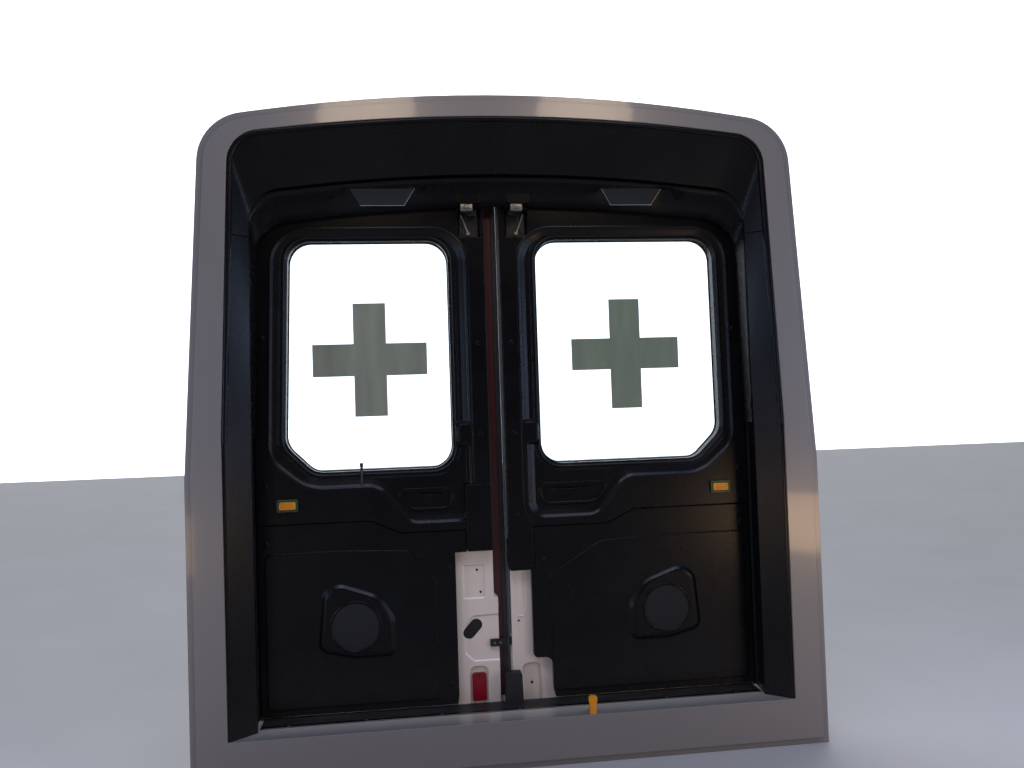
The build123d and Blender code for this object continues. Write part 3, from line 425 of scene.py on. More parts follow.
def band(shape, inner, outer, front, back):
    """Add a flat ring between two outlines with the same number of points."""
    rows = [[shape.verts.new((x, y, z)) for x, z in path]
            for path, y in ((inner, front), (outer, front), (outer, back), (inner, back))]
    count = len(inner)
    for near, far in zip(rows, rows[1:] + rows[:1]):
        for i in range(count):
            n = (i + 1) % count
            shape.faces.new((near[i], near[n], far[n], far[i]))


def circle(radius, sides=10):
    """Round section for a swept bead."""
    angles = [2 * pi * s / sides for s in range(sides)]
    return [(radius * cos(angle), radius * sin(angle)) for angle in angles]


def one_tone(name, code, patch, detail, roughness, finish=()):
    """Material of one colour, whose roughness varies a little from patch to patch."""
    made, shader, place = material(name)
    patches = add(made, "ShaderNodeTexNoise", {"Vector": place, "Scale": 1 / patch, "Detail": detail})
    low, high = roughness
    rough = add(made, "ShaderNodeMapRange", {"Value": patches, "To Min": low, "To Max": high})
    feed(made, shader, {"Roughness": rough, "Base Color": colour(code), **dict(finish)})
    return made


# Border of each glass: black ceramic enamel, printed on the inner face and fired. It is nearly matt, and a
# rubber bead closes the joint to the trim in front of it.
frit_grain = 1 / 400
frit = one_tone("ceramic_enamel_fired", "#08090A", frit_grain, 3, (0.35, 0.5))
frit_inner, frit_outer = -0.006, 0.0155
frit_front, frit_back = 0.21465, 0.21495
bead_out, bead_depth, bead_radius = 0.0068, 0.1672, 0.0024
for door in DOORS:
    border = bmesh.new()
    band(border, window_path(door, frit_inner), window_path(door, frit_outer), frit_front, frit_back)
    piece(f"glass_border_{door.name}", door.body, frit, border)
    bead = bmesh.new()
    path = [(x, bead_depth, z) for x, z in window_path(door, bead_out)]
    if door.side < 0:
        path.reverse()
    swept(bead, path, circle(bead_radius))
    piece(f"window_bead_{door.name}", door.body, rubber, bead)

# Ridges of the door trims: the moulding rolls over in one broad slope into the recess round the window and
# the arm rest, and in a narrow one round the lug of the upper latch. The rolled shoulders catch the light.
arm_height = 0.705
arm_ledge = 0.117
cup_drop = 0.121
cup_outer = 0.300
cup_slope = 0.096
recess_margin = 0.045
recess_top = 1.522
lug_top = 0.892
lug_bottom = 0.830
lug_radius = 0.014
cover_top = 0.7035
shoulder = [(0.0060, 0.0004), (0.0040, -0.0004), (0.0016, -0.0010), (-0.0006, -0.0009), (-0.0022, 0.0000),
            (-0.0040, 0.0015), (-0.0062, 0.0033), (-0.0086, 0.0048), (-0.0118, 0.0063), (-0.0156, 0.0079),
            (-0.0194, 0.0094), (-0.0226, 0.0107), (-0.0250, 0.0117), (-0.0200, 0.0135), (0.0000, 0.0080)]
lug_roll = [(0.0040, 0.0004), (0.0022, -0.0006), (0.0004, -0.0008), (-0.0016, 0.0000), (-0.0036, 0.0018),
            (-0.0052, 0.0044), (-0.0062, 0.0078), (-0.0040, 0.0090), (0.0000, 0.0070)]


def recess_paths(door, steps=10):
    """Paths round the sunk field of a door trim, in the frame's own X: the broad slope, and the latch lug."""
    outer = door.edge_side - recess_margin
    points = [(door.cup_inner, lug_bottom - 0.004), (door.cup_inner, arm_height - cup_drop)]
    if door.cover_edge:
        points = [(door.cover_edge, arm_height - cup_drop)]
    radii = [0, 0.054][:len(points)]
    points += [(cup_outer, arm_height - cup_drop), (cup_outer + cup_slope, arm_height),
               (outer - arm_ledge, arm_height), (outer, arm_height + 0.1), (outer - door.lean, recess_top),
               (door.recess_inner, recess_top), (door.recess_inner, lug_top + 0.010)]
    radii += [0.060, 0.070, 0.140, 0.090, 0.110, 0.110, 0]
    low = cover_top if door.cover_edge else lug_bottom - 0.020
    lug = [(door.recess_inner, lug_top + 0.030), (door.recess_inner, lug_top), (door.lug_reach, lug_top),
           (door.lug_reach, lug_bottom), (door.cup_inner, lug_bottom), (door.cup_inner, low)]
    paths = rounded(points, radii, steps), rounded(lug, [0] + [lug_radius] * 4 + [0], steps)
    return [[(meeting_x + door.side * u, trim_face, z) for u, z in path[::door.side]] for path in paths]


for door in DOORS:
    ridge = bmesh.new()
    slope, lug = recess_paths(door)
    swept(ridge, slope, shoulder, closed=False)
    swept(ridge, lug, lug_roll, closed=False)
    piece(f"recess_ridge_{door.name}", door.body, abs_rolled, ridge, 50)

# Frosted figure on each glass, a plain equal-armed cross: cast vinyl film, cut and wetted on, grey green and
# translucent against the light.
film_streaks = (30, 1, 4)
film_shade = 0.8
# Both films are the same vinyl: the right one's darker colour and fuller cover are painted shade, as that
# window shows darker.
for side, code, film_cover_and_shade in (("left", "#8A8F7C", 0.900), ("right", "#7F8C76", 0.903)):
    film, shader, place = material(f"cast_vinyl_film_{side}")
    streak = add(film, "ShaderNodeMapping", {"Vector": place, "Scale": film_streaks})
    bands = add(film, "ShaderNodeTexNoise", {"Vector": streak, "Scale": 1.0, "Detail": 5})
    light = add(film, "ShaderNodeMapRange", {"Value": bands, "From Min": 0.3, "From Max": 0.7})
    dark_film = tuple(c * film_shade for c in colour(code)[:3]) + (1.0,)
    tone = add(film, "ShaderNodeMix", {FACTOR: light, FIRST: dark_film, SECOND: colour(code)},
               data_type="RGBA")
    rough = add(film, "ShaderNodeMapRange", {"Value": bands, "To Min": 0.15, "To Max": 0.25})
    feed(film, shader, {"Base Color": tone, "Roughness": rough, "Alpha": film_cover_and_shade})
    dress(film, f"window_figure_{side}")

# Dark discs in the slot and the round holes of the bare pressings, in black rubber, each a little below the
# steel round it: painted shade, standing for the dark of the door's cavity behind the holes.
slot_centre = (0.113, 0.238)
slot_half_length = 0.0355
slot_half_width = 0.0190
slot_turn = radians(-47)
end_steps = 12
cavity_shade_gap = 0.0001


def plate(shape, path, front, back, bevel=0.0):
    """Add a flat plate across the vehicle with its edges rounded over."""
    low = [shape.verts.new((x, front, z)) for x, z in path]
    high = [shape.verts.new((x, back, z)) for x, z in path]
    caps = [shape.faces.new(low), shape.faces.new(high)]
    count = len(path)
    for i in range(count):
        n = (i + 1) % count
        shape.faces.new((low[i], low[n], high[n], high[i]))
    if bevel:
        bmesh.ops.bevel(shape, geom=list(caps[0].edges), offset=bevel, segments=2, profile=0.5,
                        affect="EDGES")


cavity_shades = bmesh.new()
straight = slot_half_length - slot_half_width
ends = []
for end, start in ((1, -pi / 2), (-1, pi / 2)):
    for step in range(end_steps + 1):
        angle = start + pi * step / end_steps
        ends.append((end * straight + slot_half_width * cos(angle), slot_half_width * sin(angle)))
tilted = [(slot_centre[0] + a * cos(slot_turn) - b * sin(slot_turn),
           slot_centre[1] + a * sin(slot_turn) + b * cos(slot_turn)) for a, b in ends]
plate(cavity_shades, [(meeting_x - u, z) for u, z in tilted], 0.1825, 0.1850, 0.0008)
for u, z, radius, depth in ((0.094, 0.425, 0.0040, 0.1812), (0.084, 0.354, 0.0040, 0.1812)):
    rim = radius - cavity_shade_gap
    shade_disc = [(0, 0.0006), (radius * 0.6, 0.0004), (rim, 0.0), (rim, -0.002)]
    turned(cavity_shades, shade_disc, (meeting_x - u, depth, z))
piece("cavity_shades_left", "left_door", rubber, cavity_shades)
cavity_shades = bmesh.new()
for u, z, radius, depth in ((0.073, 0.054, 0.0045, 0.1868), (0.036, 0.256, 0.0035, 0.1785)):
    rim = radius - cavity_shade_gap
    shade_disc = [(0, 0.0004), (radius * 0.6, 0.0003), (rim, 0.0), (rim, -0.001)]
    turned(cavity_shades, shade_disc, (meeting_x + u, depth, z))
piece("cavity_shades_right", "right_door", rubber, cavity_shades)

# Lanced tab over the small hole of the right pressing, and the rolled rim of that hole, both drawn in the
# same stroke as the pressing and painted with it.
tab_x, tab_depth, tab_z = meeting_x + 0.041, 0.1764, 0.270
tab_squash = 0.38
tab = bmesh.new()
turned(tab, [(0, 0.0034), (0.0040, 0.0030), (0.0075, 0.0018), (0.0100, 0.0002), (0.0105, -0.0006)],
       (tab_x, tab_depth, tab_z), turns=28)
bmesh.ops.scale(tab, vec=(1.0, 1.0, tab_squash), verts=tab.verts,
                space=Matrix.Translation((-tab_x, 0.0, -tab_z)))
turned(tab, [(0.0044, -0.0006), (0.0044, 0.0008), (0.0058, 0.0012), (0.0074, 0.0)],
       (meeting_x + 0.036, 0.1762, 0.256), turns=28)
bmesh.ops.delete(tab, geom=[f for f in tab.faces if len(f.verts) > 4], context="FACES_ONLY")
piece("door_tab_right", "right_door", enamel, tab)

# Meeting edge: the red PVC strip on the left door's flange and the rubber seal beside it, against which
# the right door closes with its grey strip. Extruded PVC is satin, with faint streaks along its length. The
# grey strip's colour is painted shade: it stands for the right door's white painted edge, half lit in the
# gap.
strip_streaks = (80, 80, 3)
strips = {}
for name, code, dark in (("red", "#4B191A", "#2E0F10"), ("grey", "#6A6E73", "#45484C")):
    pvc, shader, place = material(f"pvc_strip_extruded_{name}")
    streak = add(pvc, "ShaderNodeMapping", {"Vector": place, "Scale": strip_streaks})
    bands = add(pvc, "ShaderNodeTexNoise", {"Vector": streak, "Scale": 1.0, "Detail": 5})
    tone = add(pvc, "ShaderNodeMix", {FACTOR: bands, FIRST: colour(dark), SECOND: colour(code)},
               data_type="RGBA")
    rough = add(pvc, "ShaderNodeMapRange", {"Value": bands, "To Min": 0.3, "To Max": 0.5})
    feed(pvc, shader, {"Base Color": tone, "Roughness": rough})
    strips[name] = pvc
dress(strips["red"], "edge_strip_left")
dress(rubber, "meeting_seal_left", "sill_block")
strip_left, strip_right = meeting_x + 0.0050, meeting_x + 0.0112
cap_left, cap_right = meeting_x + 0.0046, meeting_x + 0.0116
strip_foot, strip_top, strip_cap_top = 0.216, 1.604, 1.618
strip_back = 0.1898


def box_path(x_low, x_high, z_low, z_high, radius, steps=5):
    """Rectangle outline with rounded corners."""
    return rounded([(x_low, z_low), (x_high, z_low), (x_high, z_high), (x_low, z_high)], [radius] * 4, steps)


# The grey strip and its cap: painted shade on what stands for the right door's white edge in the gap.
shade_strip = bmesh.new()
plate(shade_strip, box_path(strip_left, strip_right, strip_foot, strip_top, 0.0006, 2), 0.1815, strip_back, 0.0012)
plate(shade_strip, box_path(cap_left, cap_right, strip_top, strip_cap_top, 0.0010, 2), 0.1795, strip_back, 0.0010)
piece("edge_shade_strip_right", "right_door", strips["grey"], shade_strip)
catch = bmesh.new()
catch_front = 0.1785
plate(catch, box_path(cap_left, cap_right, 0.428, 0.520, 0.001, 2), catch_front, 0.1830, 0.0006)
for z in (0.446, 0.476, 0.504):
    turned(catch, [(0, 0.0012), (0.0012, 0.0010), (0.0018, 0.0)], (meeting_x + 0.0082, catch_front, z),
           turns=12)
piece("edge_catch_right", "right_door", rubber, catch)

# Sill: a moulded polypropylene scuff trim, scratched grey by feet and castors, and along its front an
# extruded aluminium strip, held by screws.
scuff, shader, place = material("polypropylene_scuffed")
scuff_black = colour("#161616")
scuff_grey = colour("#3C3A37")
scratch_run = (14, 160, 60)
drag = add(scuff, "ShaderNodeMapping", {"Vector": place, "Scale": scratch_run})
scratches = add(scuff, "ShaderNodeTexNoise", {"Vector": drag, "Scale": 1.0, "Detail": 8, "Roughness": 0.8})
share = add(scuff, "ShaderNodeMapRange", {"Value": scratches, "From Min": 0.45, "From Max": 0.7})
tone = add(scuff, "ShaderNodeMix", {FACTOR: share, FIRST: scuff_black, SECOND: scuff_grey}, data_type="RGBA")
rough = add(scuff, "ShaderNodeMapRange", {"Value": scratches, "To Min": 0.35, "To Max": 0.7})
dent = add(scuff, "ShaderNodeBump", {"Height": scratches, "Strength": 0.3, "Distance": 0.0005})
feed(scuff, shader, {"Base Color": tone, "Roughness": rough, "Normal": dent})
dress(scuff, "sill_scuff")

# Aluminium, brushed lengthways and anodised: a dull sheen with fine lines, which are drawn coarser than the
# real ones so that they show.
aluminium, shader, place = material("aluminium_anodised_brushed")
aluminium_light = colour("#4E4840")
aluminium_dull = colour("#2F2B26")
brush_run = (6, 900, 900)
drag = add(aluminium, "ShaderNodeMapping", {"Vector": place, "Scale": brush_run})
brushed = add(aluminium, "ShaderNodeTexNoise", {"Vector": drag, "Scale": 1.0, "Detail": 4})
tone = add(aluminium, "ShaderNodeMix", {FACTOR: brushed, FIRST: aluminium_dull, SECOND: aluminium_light},
           data_type="RGBA")
rough = add(aluminium, "ShaderNodeMapRange", {"Value": brushed, "To Min": 0.25, "To Max": 0.45})
line = add(aluminium, "ShaderNodeBump", {"Height": brushed, "Strength": 0.2, "Distance": 0.0002})
feed(aluminium, shader, {"Base Color": tone, "Roughness": rough, "Normal": line, "Metallic": 1.0})
dress(aluminium, "sill_strip")

screw_profile = [(0.0012, 0.0022), (0.0045, 0.0030), (0.0052, 0.0022), (0.0055, 0.0), (0.0055, -0.001)]
strip_middle, strip_face = 0.092, 0.0078
screws = bmesh.new()
for x in (-0.70, -0.47, -0.24, 0.0, 0.24, 0.47, 0.70):
    turned(screws, screw_profile, (x, strip_middle, strip_face), axis=(0, 0, 1))
piece("strip_screws", "frame", aluminium, screws)

# Floor stop, check releases and their holders: nylon, injection moulded in yellow and green, with a satin
# skin that handling has stained. Ribs across each release give the thumb a hold.
stain_size = 1 / 45
moulded_edge = 0.0012
release_inset = 0.101
rib_pitch, rib_half = 0.007, 0.0014


def stained(name, code, dark, patch, detail, spread):
    """Satin material with patches of a second colour, and softened edges."""
    made, shader, place = material(name)
    patches = add(made, "ShaderNodeTexNoise", {"Vector": place, "Scale": 1 / patch, "Detail": detail,
                                               "Roughness": 0.75})
    share = add(made, "ShaderNodeMapRange", {"Value": patches, "From Min": spread[0], "From Max": spread[1]})
    tone = add(made, "ShaderNodeMix", {FACTOR: share, FIRST: colour(code), SECOND: colour(dark)},
               data_type="RGBA")
    rough = add(made, "ShaderNodeMapRange", {"Value": patches, "To Min": 0.3, "To Max": 0.5})
    edge = add(made, "ShaderNodeBevel", {"Radius": moulded_edge}, samples=4)
    feed(made, shader, {"Base Color": tone, "Roughness": rough, "Normal": edge})
    return made


nylons = {name: stained(f"nylon_moulded_{name}", code, dark, stain_size, 7, (0.5, 0.85))
          for name, code, dark in (("yellow", "#D68C10", "#84550C"), ("green", "#1E4A2C", "#10291A"))}
dress(nylons["yellow"], "floor_stop", "check_release_lever_left", "check_release_lever_right")
dress(nylons["green"], "check_release_holder_left", "check_release_holder_right")
for door in DOORS:
    ribs = bmesh.new()
    middle = meeting_x + door.side * (door.edge_side - release_inset)
    for step in range(5):
        x = middle + (step - 2) * rib_pitch
        plate(ribs, box_path(x - rib_half, x + rib_half, 0.651, 0.669, 0.0012, 3), 0.1364, 0.1382, 0.0006)
    piece(f"release_ribs_{door.name}", door.body, nylons["yellow"], ribs)

# Upper strikers and latch rods: pressed and drawn steel, zinc plated and passivated, bolted on. Plating has
# a dull sheen with a faint bloom.
zinc, shader, place = material("steel_zinc_plated")
zinc_light = colour("#9C9B96")
zinc_dull = colour("#6C6A64")
bloom_patch = 1 / 70
claw_front, claw_width = 0.104, 0.038
bloom = add(zinc, "ShaderNodeTexNoise", {"Vector": place, "Scale": 1 / bloom_patch, "Detail": 7,
                                         "Roughness": 0.7})
tone = add(zinc, "ShaderNodeMix", {FACTOR: bloom, FIRST: zinc_dull, SECOND: zinc_light}, data_type="RGBA")
rough = add(zinc, "ShaderNodeMapRange", {"Value": bloom, "To Min": 0.28, "To Max": 0.5})
edge = add(zinc, "ShaderNodeBevel", {"Radius": 0.001}, samples=4)
feed(zinc, shader, {"Base Color": tone, "Roughness": rough, "Normal": edge, "Metallic": 1.0})
for name, low in (("left", -0.151), ("right", 0.008)):
    claw = bmesh.new()
    x_low = low + 0.016
    plate(claw, box_path(x_low, x_low + claw_width, 1.566, 1.594, 0.004), claw_front, 0.122, 0.0015)
    turned(claw, [(0.0075, 0.0), (0.0075, 0.0015), (0.0045, 0.0022), (0.0042, 0.0005), (0, 0.0005)],
           (x_low + 0.014, claw_front, 1.580))
    for leg in (0.006, 0.030):
        turned(claw, [(0.0032, 0.0), (0.0032, 0.030)], (x_low + leg, 0.113, 1.592), axis=(0, 0, 1), turns=12)
    piece(f"striker_claw_{name}", "frame", zinc, claw)

# Latches and lock pin: pressed steel under a black dip coat, screwed to the doors. The coat is satin and
# worn through to grey where it rubs.
rub_patch = 1 / 90
rod_depth, rod_radius = 0.1655, 0.0032
coated = stained("steel_dip_coated", "#121316", "#3A3A3C", rub_patch, 6, (0.55, 0.8))
dress(coated, "lower_latch_left", "lower_latch_right", "lock_pin_left", "upper_latch_left",
      "upper_latch_right")
for door, low in zip(DOORS, (0.050, 0.028)):
    rods = bmesh.new()
    middle = low + 0.037
    ends = [(middle + 0.002, 1.506), (middle + 0.012, 1.532), (middle + 0.024, 1.566)]
    line = [(meeting_x + door.side * u, rod_depth, z) for u, z in ends]
    if door.side < 0:
        line.reverse()
    swept(rods, line, circle(rod_radius), closed=False)
    turned(rods, [(0.0030, 0.0040), (0.0062, 0.0040), (0.0066, 0.0), (0.0030, 0.0)],
           (meeting_x + door.side * (middle + 0.002), 0.1670, 1.506))
    piece(f"latch_rod_{door.name}", door.body, zinc, rods)
latch_screws = bmesh.new()
for u in (0.026, 0.044):
    turned(latch_screws, [(0.0015, 0.0018), (0.0036, 0.0026), (0.0042, 0.0014), (0.0042, -0.0005)],
           (meeting_x - u, 0.171, 0.192))
piece("lower_latch_screws", "left_door", zinc, latch_screws)

# Loading lamps: injection-moulded lenses of smoked polycarbonate, clipped under the header, with a rim of
# chrome-plated ABS along the lower edges. The lens is dark and glossy, the rim a thin bright line.
smear_patch = 1 / 8
smoked = one_tone("polycarbonate_smoked", "#17181B", smear_patch, 3, (0.04, 0.12),
                  {"Coat Weight": 0.25, "Coat Roughness": 0.03})
dress(smoked, "loading_lamp_left", "loading_lamp_right")

chrome_haze = 1 / 120
chrome = one_tone("abs_chrome_plated", "#D8D8D6", chrome_haze, 3, (0.08, 0.2), {"Metallic": 1.0})
rim_radius = 0.0016
for name, middle, shine in LAMPS:
    rim = bmesh.new()
    corners = [(middle - shine * half_bottom, front_bottom, lens_bottom),
               (middle + shine * half_bottom, front_bottom, lens_bottom),
               (middle + shine * half_top, front_top, lens_top)]
    swept(rim, corners, circle(rim_radius, 8), closed=False)
    piece(f"lamp_rim_{name}", "frame", chrome, rim)

# Tail lamps and stop lamp: acrylic lenses, injection moulded with prisms inside and bonded to their trays,
# red with a clear and an amber field. The prisms break up the reflections under a smooth face.
lens, shader, place = material("acrylic_lens_prismatic")
lens_red = colour("#8C0C12")
lens_amber = colour("#C56A12")
lens_clear = colour("#CFC9C2")
prism = 0.006
amber_top, clear_top = 0.93, 1.04
height = add(lens, "ShaderNodeSeparateXYZ", {"Vector": place})
above = add(lens, "ShaderNodeMath", {0: height.outputs["Z"], 1: amber_top}, operation="GREATER_THAN")
under = add(lens, "ShaderNodeMath", {0: height.outputs["Z"], 1: clear_top}, operation="LESS_THAN")
clear_field = add(lens, "ShaderNodeMath", {0: above, 1: under}, operation="MULTIPLY")
amber_field = add(lens, "ShaderNodeMath", {0: height.outputs["Z"], 1: amber_top}, operation="LESS_THAN")
with_amber = add(lens, "ShaderNodeMix", {FACTOR: amber_field, FIRST: lens_red, SECOND: lens_amber},
                 data_type="RGBA")
tone = add(lens, "ShaderNodeMix", {FACTOR: clear_field, FIRST: with_amber, SECOND: lens_clear},
           data_type="RGBA")
prisms = add(lens, "ShaderNodeTexVoronoi", {"Vector": place, "Scale": 1 / prism, "Randomness": 0.0},
             distance="CHEBYCHEV")
facets = add(lens, "ShaderNodeBump", {"Height": prisms, "Strength": 0.5, "Distance": 0.001})
shine = add(lens, "ShaderNodeMapRange", {"Value": prisms, "To Min": 0.08, "To Max": 0.25})
feed(lens, shader, {"Base Color": tone, "Normal": facets, "Roughness": shine, "Coat Weight": 1.0,
                    "Coat Roughness": 0.03})
dress(lens, "tail_lamp_left", "tail_lamp_right", "high_stop_lamp")

# Reflector in the arched niche of the left door: red acrylic, moulded with corner-cube prisms and stuck to
# the steel. The cubes show as a fine mosaic of light and dark red.
reflector, shader, place = material("acrylic_reflector")
reflector_red = colour("#B01024")
reflector_deep = colour("#5E0612")
cube = 0.0035
cubes = add(reflector, "ShaderNodeTexVoronoi", {"Vector": place, "Scale": 1 / cube, "Randomness": 0.1},
            distance="MANHATTAN")
tone = add(reflector, "ShaderNodeMix", {FACTOR: cubes, FIRST: reflector_red, SECOND: reflector_deep},
           data_type="RGBA")
facets = add(reflector, "ShaderNodeBump", {"Height": cubes, "Strength": 0.4, "Distance": 0.0008})
shine = add(reflector, "ShaderNodeMapRange", {"Value": cubes, "To Min": 0.12, "To Max": 0.3})
feed(reflector, shader, {"Base Color": tone, "Normal": facets, "Roughness": shine, "Coat Weight": 0.3,
                         "Specular IOR Level": 0.3})
dress(reflector, "reflector_left")

# A small black plate at the top of the reflector: painted shade, standing for the dark of a small hole there.
hole_shade_left, hole_shade_right = meeting_x - 0.0995, meeting_x - 0.0935
hole_shade = bmesh.new()
plate(hole_shade, box_path(hole_shade_left, hole_shade_right, 0.0885, 0.0940, 0.0008, 2), 0.1762, 0.1782, 0.0003)
piece("reflector_hole_shade", "left_door", rubber, hole_shade)

# Loudspeakers: a moulded grille over the paper cone, in a bowl of the lower trim, with thin cloth drawn over
# the grille. Knitted polyester cloth is matt, without the highlights of the moulding.
cloth, shader, place = material("polyester_cloth_knitted")
cloth_dark = colour("#0A0B0C")
cloth_light = colour("#111215")
stitch = 0.0012
knit = add(cloth, "ShaderNodeTexVoronoi", {"Vector": place, "Scale": 1 / stitch})
tone = add(cloth, "ShaderNodeMix", {FACTOR: knit, FIRST: cloth_light, SECOND: cloth_dark}, data_type="RGBA")
rough = add(cloth, "ShaderNodeMapRange", {"Value": knit, "To Min": 0.7, "To Max": 0.9})
feed(cloth, shader, {"Base Color": tone, "Roughness": rough})
dress(abs_trim, "speaker_grille_left", "speaker_grille_right")
speaker_inset, speaker_front, speaker_height = 0.299, 0.139, 0.278
POD = [(-0.106, -0.084, 0.010), (-0.106, 0.016, 0.060), (-0.066, 0.078, 0.080), (0.052, 0.120, 0.040),
       (0.086, 0.096, 0.022), (0.100, -0.062, 0.020), (0.006, -0.084, 0.060)]
pod_rim = [(-0.0062, -0.0096), (-0.0050, -0.0122), (-0.0020, -0.0138), (0.0022, -0.0136), (0.0066, -0.0112),
           (0.0115, -0.0070), (0.0170, -0.0034), (0.0225, -0.0011), (0.0270, 0.0004), (0.0, 0.0010)]
for door in DOORS:
    bezel = bmesh.new()
    centre = (meeting_x + door.side * (door.edge_side - speaker_inset), speaker_front, speaker_height)
    turned(bezel, [(0.0735, 0.0), (0.0735, 0.0022), (0.0750, 0.0034), (0.0775, 0.0034), (0.0795, 0.0020),
                   (0.0800, 0.0)], centre, turns=64)
    bmesh.ops.delete(bezel, geom=[f for f in bezel.faces if len(f.verts) > 4], context="FACES_ONLY")
    piece(f"speaker_bezel_{door.name}", door.body, abs_trim, bezel)
    cover = bmesh.new()
    turned(cover, [(0, 0.0028), (0.020, 0.0026), (0.040, 0.0020), (0.056, 0.0013), (0.068, 0.0006),
                   (0.0736, -0.0004)], centre, turns=48)
    piece(f"speaker_cloth_{door.name}", door.body, cloth, cover)
    rim = bmesh.new()
    path = rounded([(x, z) for x, z, radius in POD], [radius for x, z, radius in POD], 8)
    line = [(centre[0] + door.side * x, lower_face, centre[2] + z) for x, z in path]
    if door.side > 0:
        line.reverse()
    swept(rim, line, pod_rim)
    piece(f"pod_rim_{door.name}", door.body, abs_rolled, rim, 60)

# Hinges: forged steel leaves on the outside of the pillars and doors, sprayed with the body, each held by
# two hexagon bolts in the same paint.
dress(enamel, "hinge_body_leaves_left", "hinge_body_leaves_right", "hinge_door_leaves_left",
      "hinge_door_leaves_right")
bolt_profile = [(0, 0.0055), (0.0055, 0.0055), (0.0072, 0.0045), (0.0072, 0.0010), (0.0095, 0.0008),
                (0.0095, 0.0)]
leaf_face = 0.226
door_leaf, body_leaf = 0.806, 0.888
bolt_step = 0.028
for side, body in ((-1, "left_door"), (1, "right_door")):
    side_name = "left" if side < 0 else "right"
    door_bolts = bmesh.new()
    body_bolts = bmesh.new()
    for z in (0.070, 0.660, 1.480):
        for step in (-bolt_step, bolt_step):
            turned(door_bolts, bolt_profile, (side * door_leaf, leaf_face, z + step), axis=(0, 1, 0), turns=6)
            turned(body_bolts, bolt_profile, (side * body_leaf, leaf_face, z + step), axis=(0, 1, 0), turns=6)
    piece(f"hinge_bolts_door_{side_name}", body, enamel, door_bolts)
    piece(f"hinge_bolts_body_{side_name}", "frame", enamel, body_bolts)

# Outer handle, plate tray and plate lamp: black nylon, injection moulded against a spark-eroded tool and
# screwed to the doors. The texture makes it satin, and daylight has faded it in patches.
black_nylon, shader, place = material("nylon_moulded_black")
nylon_black = colour("#131415")
nylon_faded = colour("#2A2A2B")
fade_patch = 1 / 14
spark_pit = 1 / 700
handle_edge = 0.003
fade = add(black_nylon, "ShaderNodeTexNoise", {"Vector": place, "Scale": 1 / fade_patch, "Detail": 8})
tone = add(black_nylon, "ShaderNodeMix", {FACTOR: fade, FIRST: nylon_black, SECOND: nylon_faded},
           data_type="RGBA")
sparks = add(black_nylon, "ShaderNodeTexNoise", {"Vector": place, "Scale": 1 / spark_pit, "Detail": 2})
rough = add(black_nylon, "ShaderNodeMapRange", {"Value": fade, "To Min": 0.45, "To Max": 0.65})
edge = add(black_nylon, "ShaderNodeBevel", {"Radius": handle_edge}, samples=4)
pits = add(black_nylon, "ShaderNodeBump", {"Height": sparks, "Strength": 0.2, "Distance": 0.0004,
                                           "Normal": edge})
feed(black_nylon, shader, {"Base Color": tone, "Roughness": rough, "Normal": pits})
dress(black_nylon, "outer_handle_right", "plate_tray_left", "plate_lamp_left")

# Blank number plate: pressed aluminium, painted white, on two screws in the tray. Its face is bare but for
# the raised line round it.
plate_x = meeting_x - 0.330
plate_front = 0.2262
plate_face = bmesh.new()
plate(plate_face, box_path(plate_x - 0.152, plate_x + 0.152, 0.394, 0.546, 0.008), plate_front, 0.2250)
line_inner = box_path(plate_x - 0.146, plate_x + 0.146, 0.400, 0.540, 0.006)
line_outer = box_path(plate_x - 0.149, plate_x + 0.149, 0.397, 0.543, 0.007)
band(plate_face, line_inner, line_outer, plate_front, 0.2270)
piece("blank_plate", "left_door", enamel, plate_face)
plate_screws = bmesh.new()
for x in (plate_x - 0.085, plate_x + 0.085):
    turned(plate_screws, screw_profile, (x, plate_front, 0.530), axis=(0, 1, 0))
piece("plate_screws", "left_door", zinc, plate_screws)

# Lock cylinder beside the outer handle: a die casting under the same bright plating as the lamp rims, set
# into the door skin with its face just proud.
lock = bmesh.new()
turned(lock, [(0.0, 0.0045), (0.0085, 0.0045), (0.0100, 0.0035), (0.0105, 0.0), (0.0105, -0.001)],
       (meeting_x + 0.245, 0.220, 0.660), axis=(0, 1, 0), turns=32)
piece("lock_cylinder", "right_door", chrome, lock)

# Studio: a plain pale floor, a surround that is bright behind the doors, soft and bluish at the sides and
# dark in front, and soft lights above and before the doors.
floor_patch = 1 / 3
floor_level = -0.1405
floor_paint = one_tone("studio_floor_painted", "#A5A099", floor_patch, 4, (0.6, 0.75))
ground = bmesh.new()
bmesh.ops.create_grid(ground, x_segments=8, y_segments=8, size=14)
bmesh.ops.translate(ground, verts=ground.verts, vec=(0, 0, floor_level))
floor_mesh = bpy.data.meshes.new("studio_floor")
ground.to_mesh(floor_mesh)
ground.free()
floor_mesh.materials.append(floor_paint)
studio_floor = bpy.data.objects.new("studio_floor", floor_mesh)
bpy.context.scene.collection.objects.link(studio_floor)

world = bpy.data.worlds.new("studio_surround")
bpy.context.scene.world = world
world.use_nodes = True
background = world.node_tree.nodes["Background"]
direction = add(world, "ShaderNodeTexCoord").outputs["Generated"]
parts = add(world, "ShaderNodeSeparateXYZ", {"Vector": direction})
beside = add(world, "ShaderNodeMapRange", {"Value": parts.outputs["Y"], "From Min": -0.92, "From Max": -0.45,
                                           "To Min": 0.01, "To Max": 0.26}, interpolation_type="SMOOTHSTEP")
behind = add(world, "ShaderNodeMapRange", {"Value": parts.outputs["Y"], "From Min": 0.0, "From Max": 0.4,
                                           "To Min": 0.0, "To Max": 0.55}, interpolation_type="SMOOTHSTEP")
daylight = add(world, "ShaderNodeMapRange", {"Value": parts.outputs["Y"], "From Min": 0.35, "From Max": 0.8,
                                             "To Min": 0.0, "To Max": 1.6}, interpolation_type="SMOOTHSTEP")
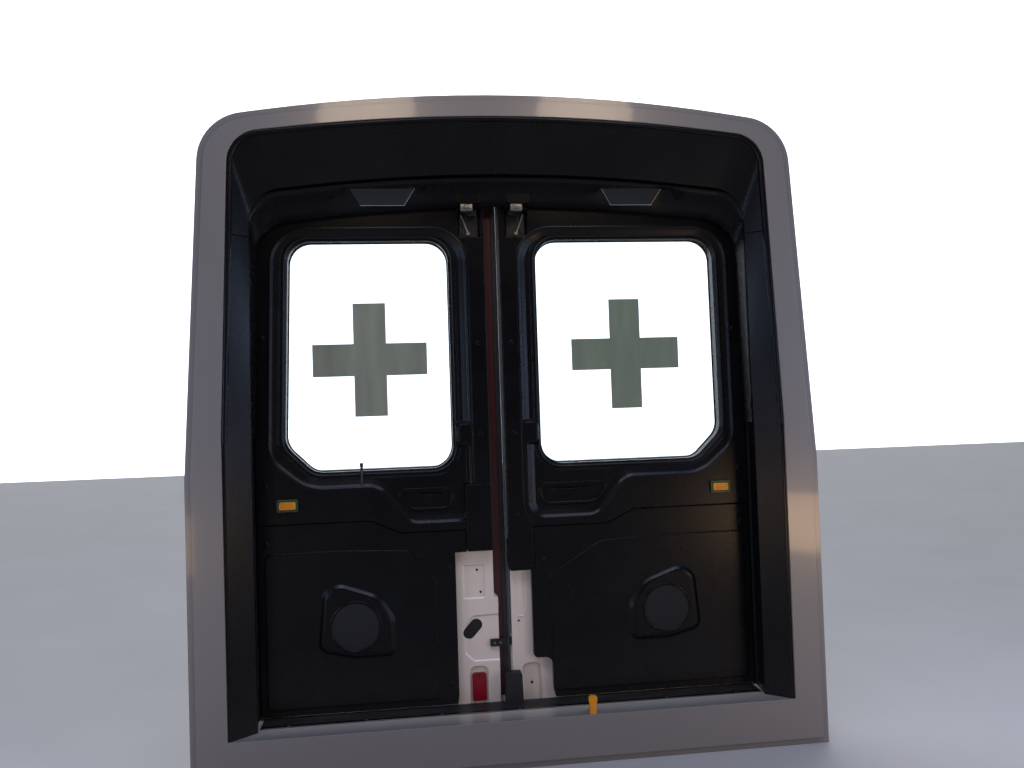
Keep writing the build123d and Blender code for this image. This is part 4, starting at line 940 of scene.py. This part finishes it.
around = add(world, "ShaderNodeMath", {0: beside, 1: behind}, operation="ADD")
strength = add(world, "ShaderNodeMath", {0: around, 1: daylight}, operation="ADD")
sky = add(world, "ShaderNodeMix", {FACTOR: behind, FIRST: colour("#C3D2F2"), SECOND: colour("#FFFFFF")},
          data_type="RGBA")
feed(world, background, {"Strength": strength, "Color": sky})

# Lights are name, shape, width, height, power in watts, colour, place and the point they are aimed at.
LIGHTS = [("overhead_light", "RECTANGLE", 5.0, 1.8, 120, "#B4CBFF", (-0.1, -2.4, 5.35), (-0.1, 0.15, 0.7)),
          ("side_light_one", "RECTANGLE", 0.25, 1.4, 13, "#BBD2FF", (2.6, -2.0, 1.1), (-0.7, 0.15, 1.1)),
          ("side_light_two", "RECTANGLE", 0.25, 1.4, 13, "#BBD2FF", (-2.6, -1.17, 1.1), (-0.1, 0.15, 1.1)),
          ("side_light_three", "RECTANGLE", 0.25, 1.4, 13, "#BBD2FF", (2.6, -0.55, 1.1), (0.1, 0.15, 1.1)),
          ("side_light_four", "RECTANGLE", 0.25, 1.4, 13, "#BBD2FF", (-2.6, -3.3, 1.1), (0.75, 0.15, 1.1)),
          ("low_light_left", "RECTANGLE", 0.8, 0.3, 3, "#FFCF9C", (-1.7, -1.6, 0.3), (0.0, 0.15, 0.3)),
          ("low_light_right", "RECTANGLE", 0.8, 0.3, 6, "#FFCF9C", (1.7, -1.6, 0.3), (0.0, 0.15, 0.3)),
          ("ceiling_light_left", "DISK", 0.4, 0.4, 3, "#FFE3C4", (-0.45, -0.9, 2.15), (0.0, 0.15, 0.5)),
          ("ceiling_light_right", "DISK", 0.4, 0.4, 3, "#FFE3C4", (0.45, -0.9, 2.15), (0.0, 0.15, 0.5))]
for name, shape, size, depth, power, code, place, aim in LIGHTS:
    lamp = bpy.data.lights.new(name, "AREA")
    lamp.shape = shape
    lamp.size = size
    lamp.size_y = depth
    lamp.energy = power
    lamp.color = colour(code)[:3]
    holder = bpy.data.objects.new(name, lamp)
    holder.location = place
    holder.rotation_euler = (Vector(aim) - Vector(place)).to_track_quat("-Z", "Y").to_euler()
    bpy.context.scene.collection.objects.link(holder)
bpy.context.scene.view_settings.view_transform = "Standard"

# Camera at the photograph's place: inside the body, a little left of the middle, turned slightly right.
# Lens and sensor, in millimetres, give a focal length of 840 pixels in the frame of 1024.
camera_place = (-0.3126, -2.526, 0.9416)
camera_data = bpy.data.cameras.new("camera")
camera_data.lens = 29.53
camera_data.sensor_width = 36
camera = bpy.data.objects.new("camera", camera_data)
turn = Matrix.Rotation(radians(-7.01), 4, "Z")
tilt = Matrix.Rotation(radians(90 + 1.60), 4, "X")
roll = Matrix.Rotation(radians(-1.86), 4, "Z")
camera.matrix_world = Matrix.Translation(camera_place) @ turn @ tilt @ roll
bpy.context.scene.collection.objects.link(camera)
bpy.context.scene.camera = camera
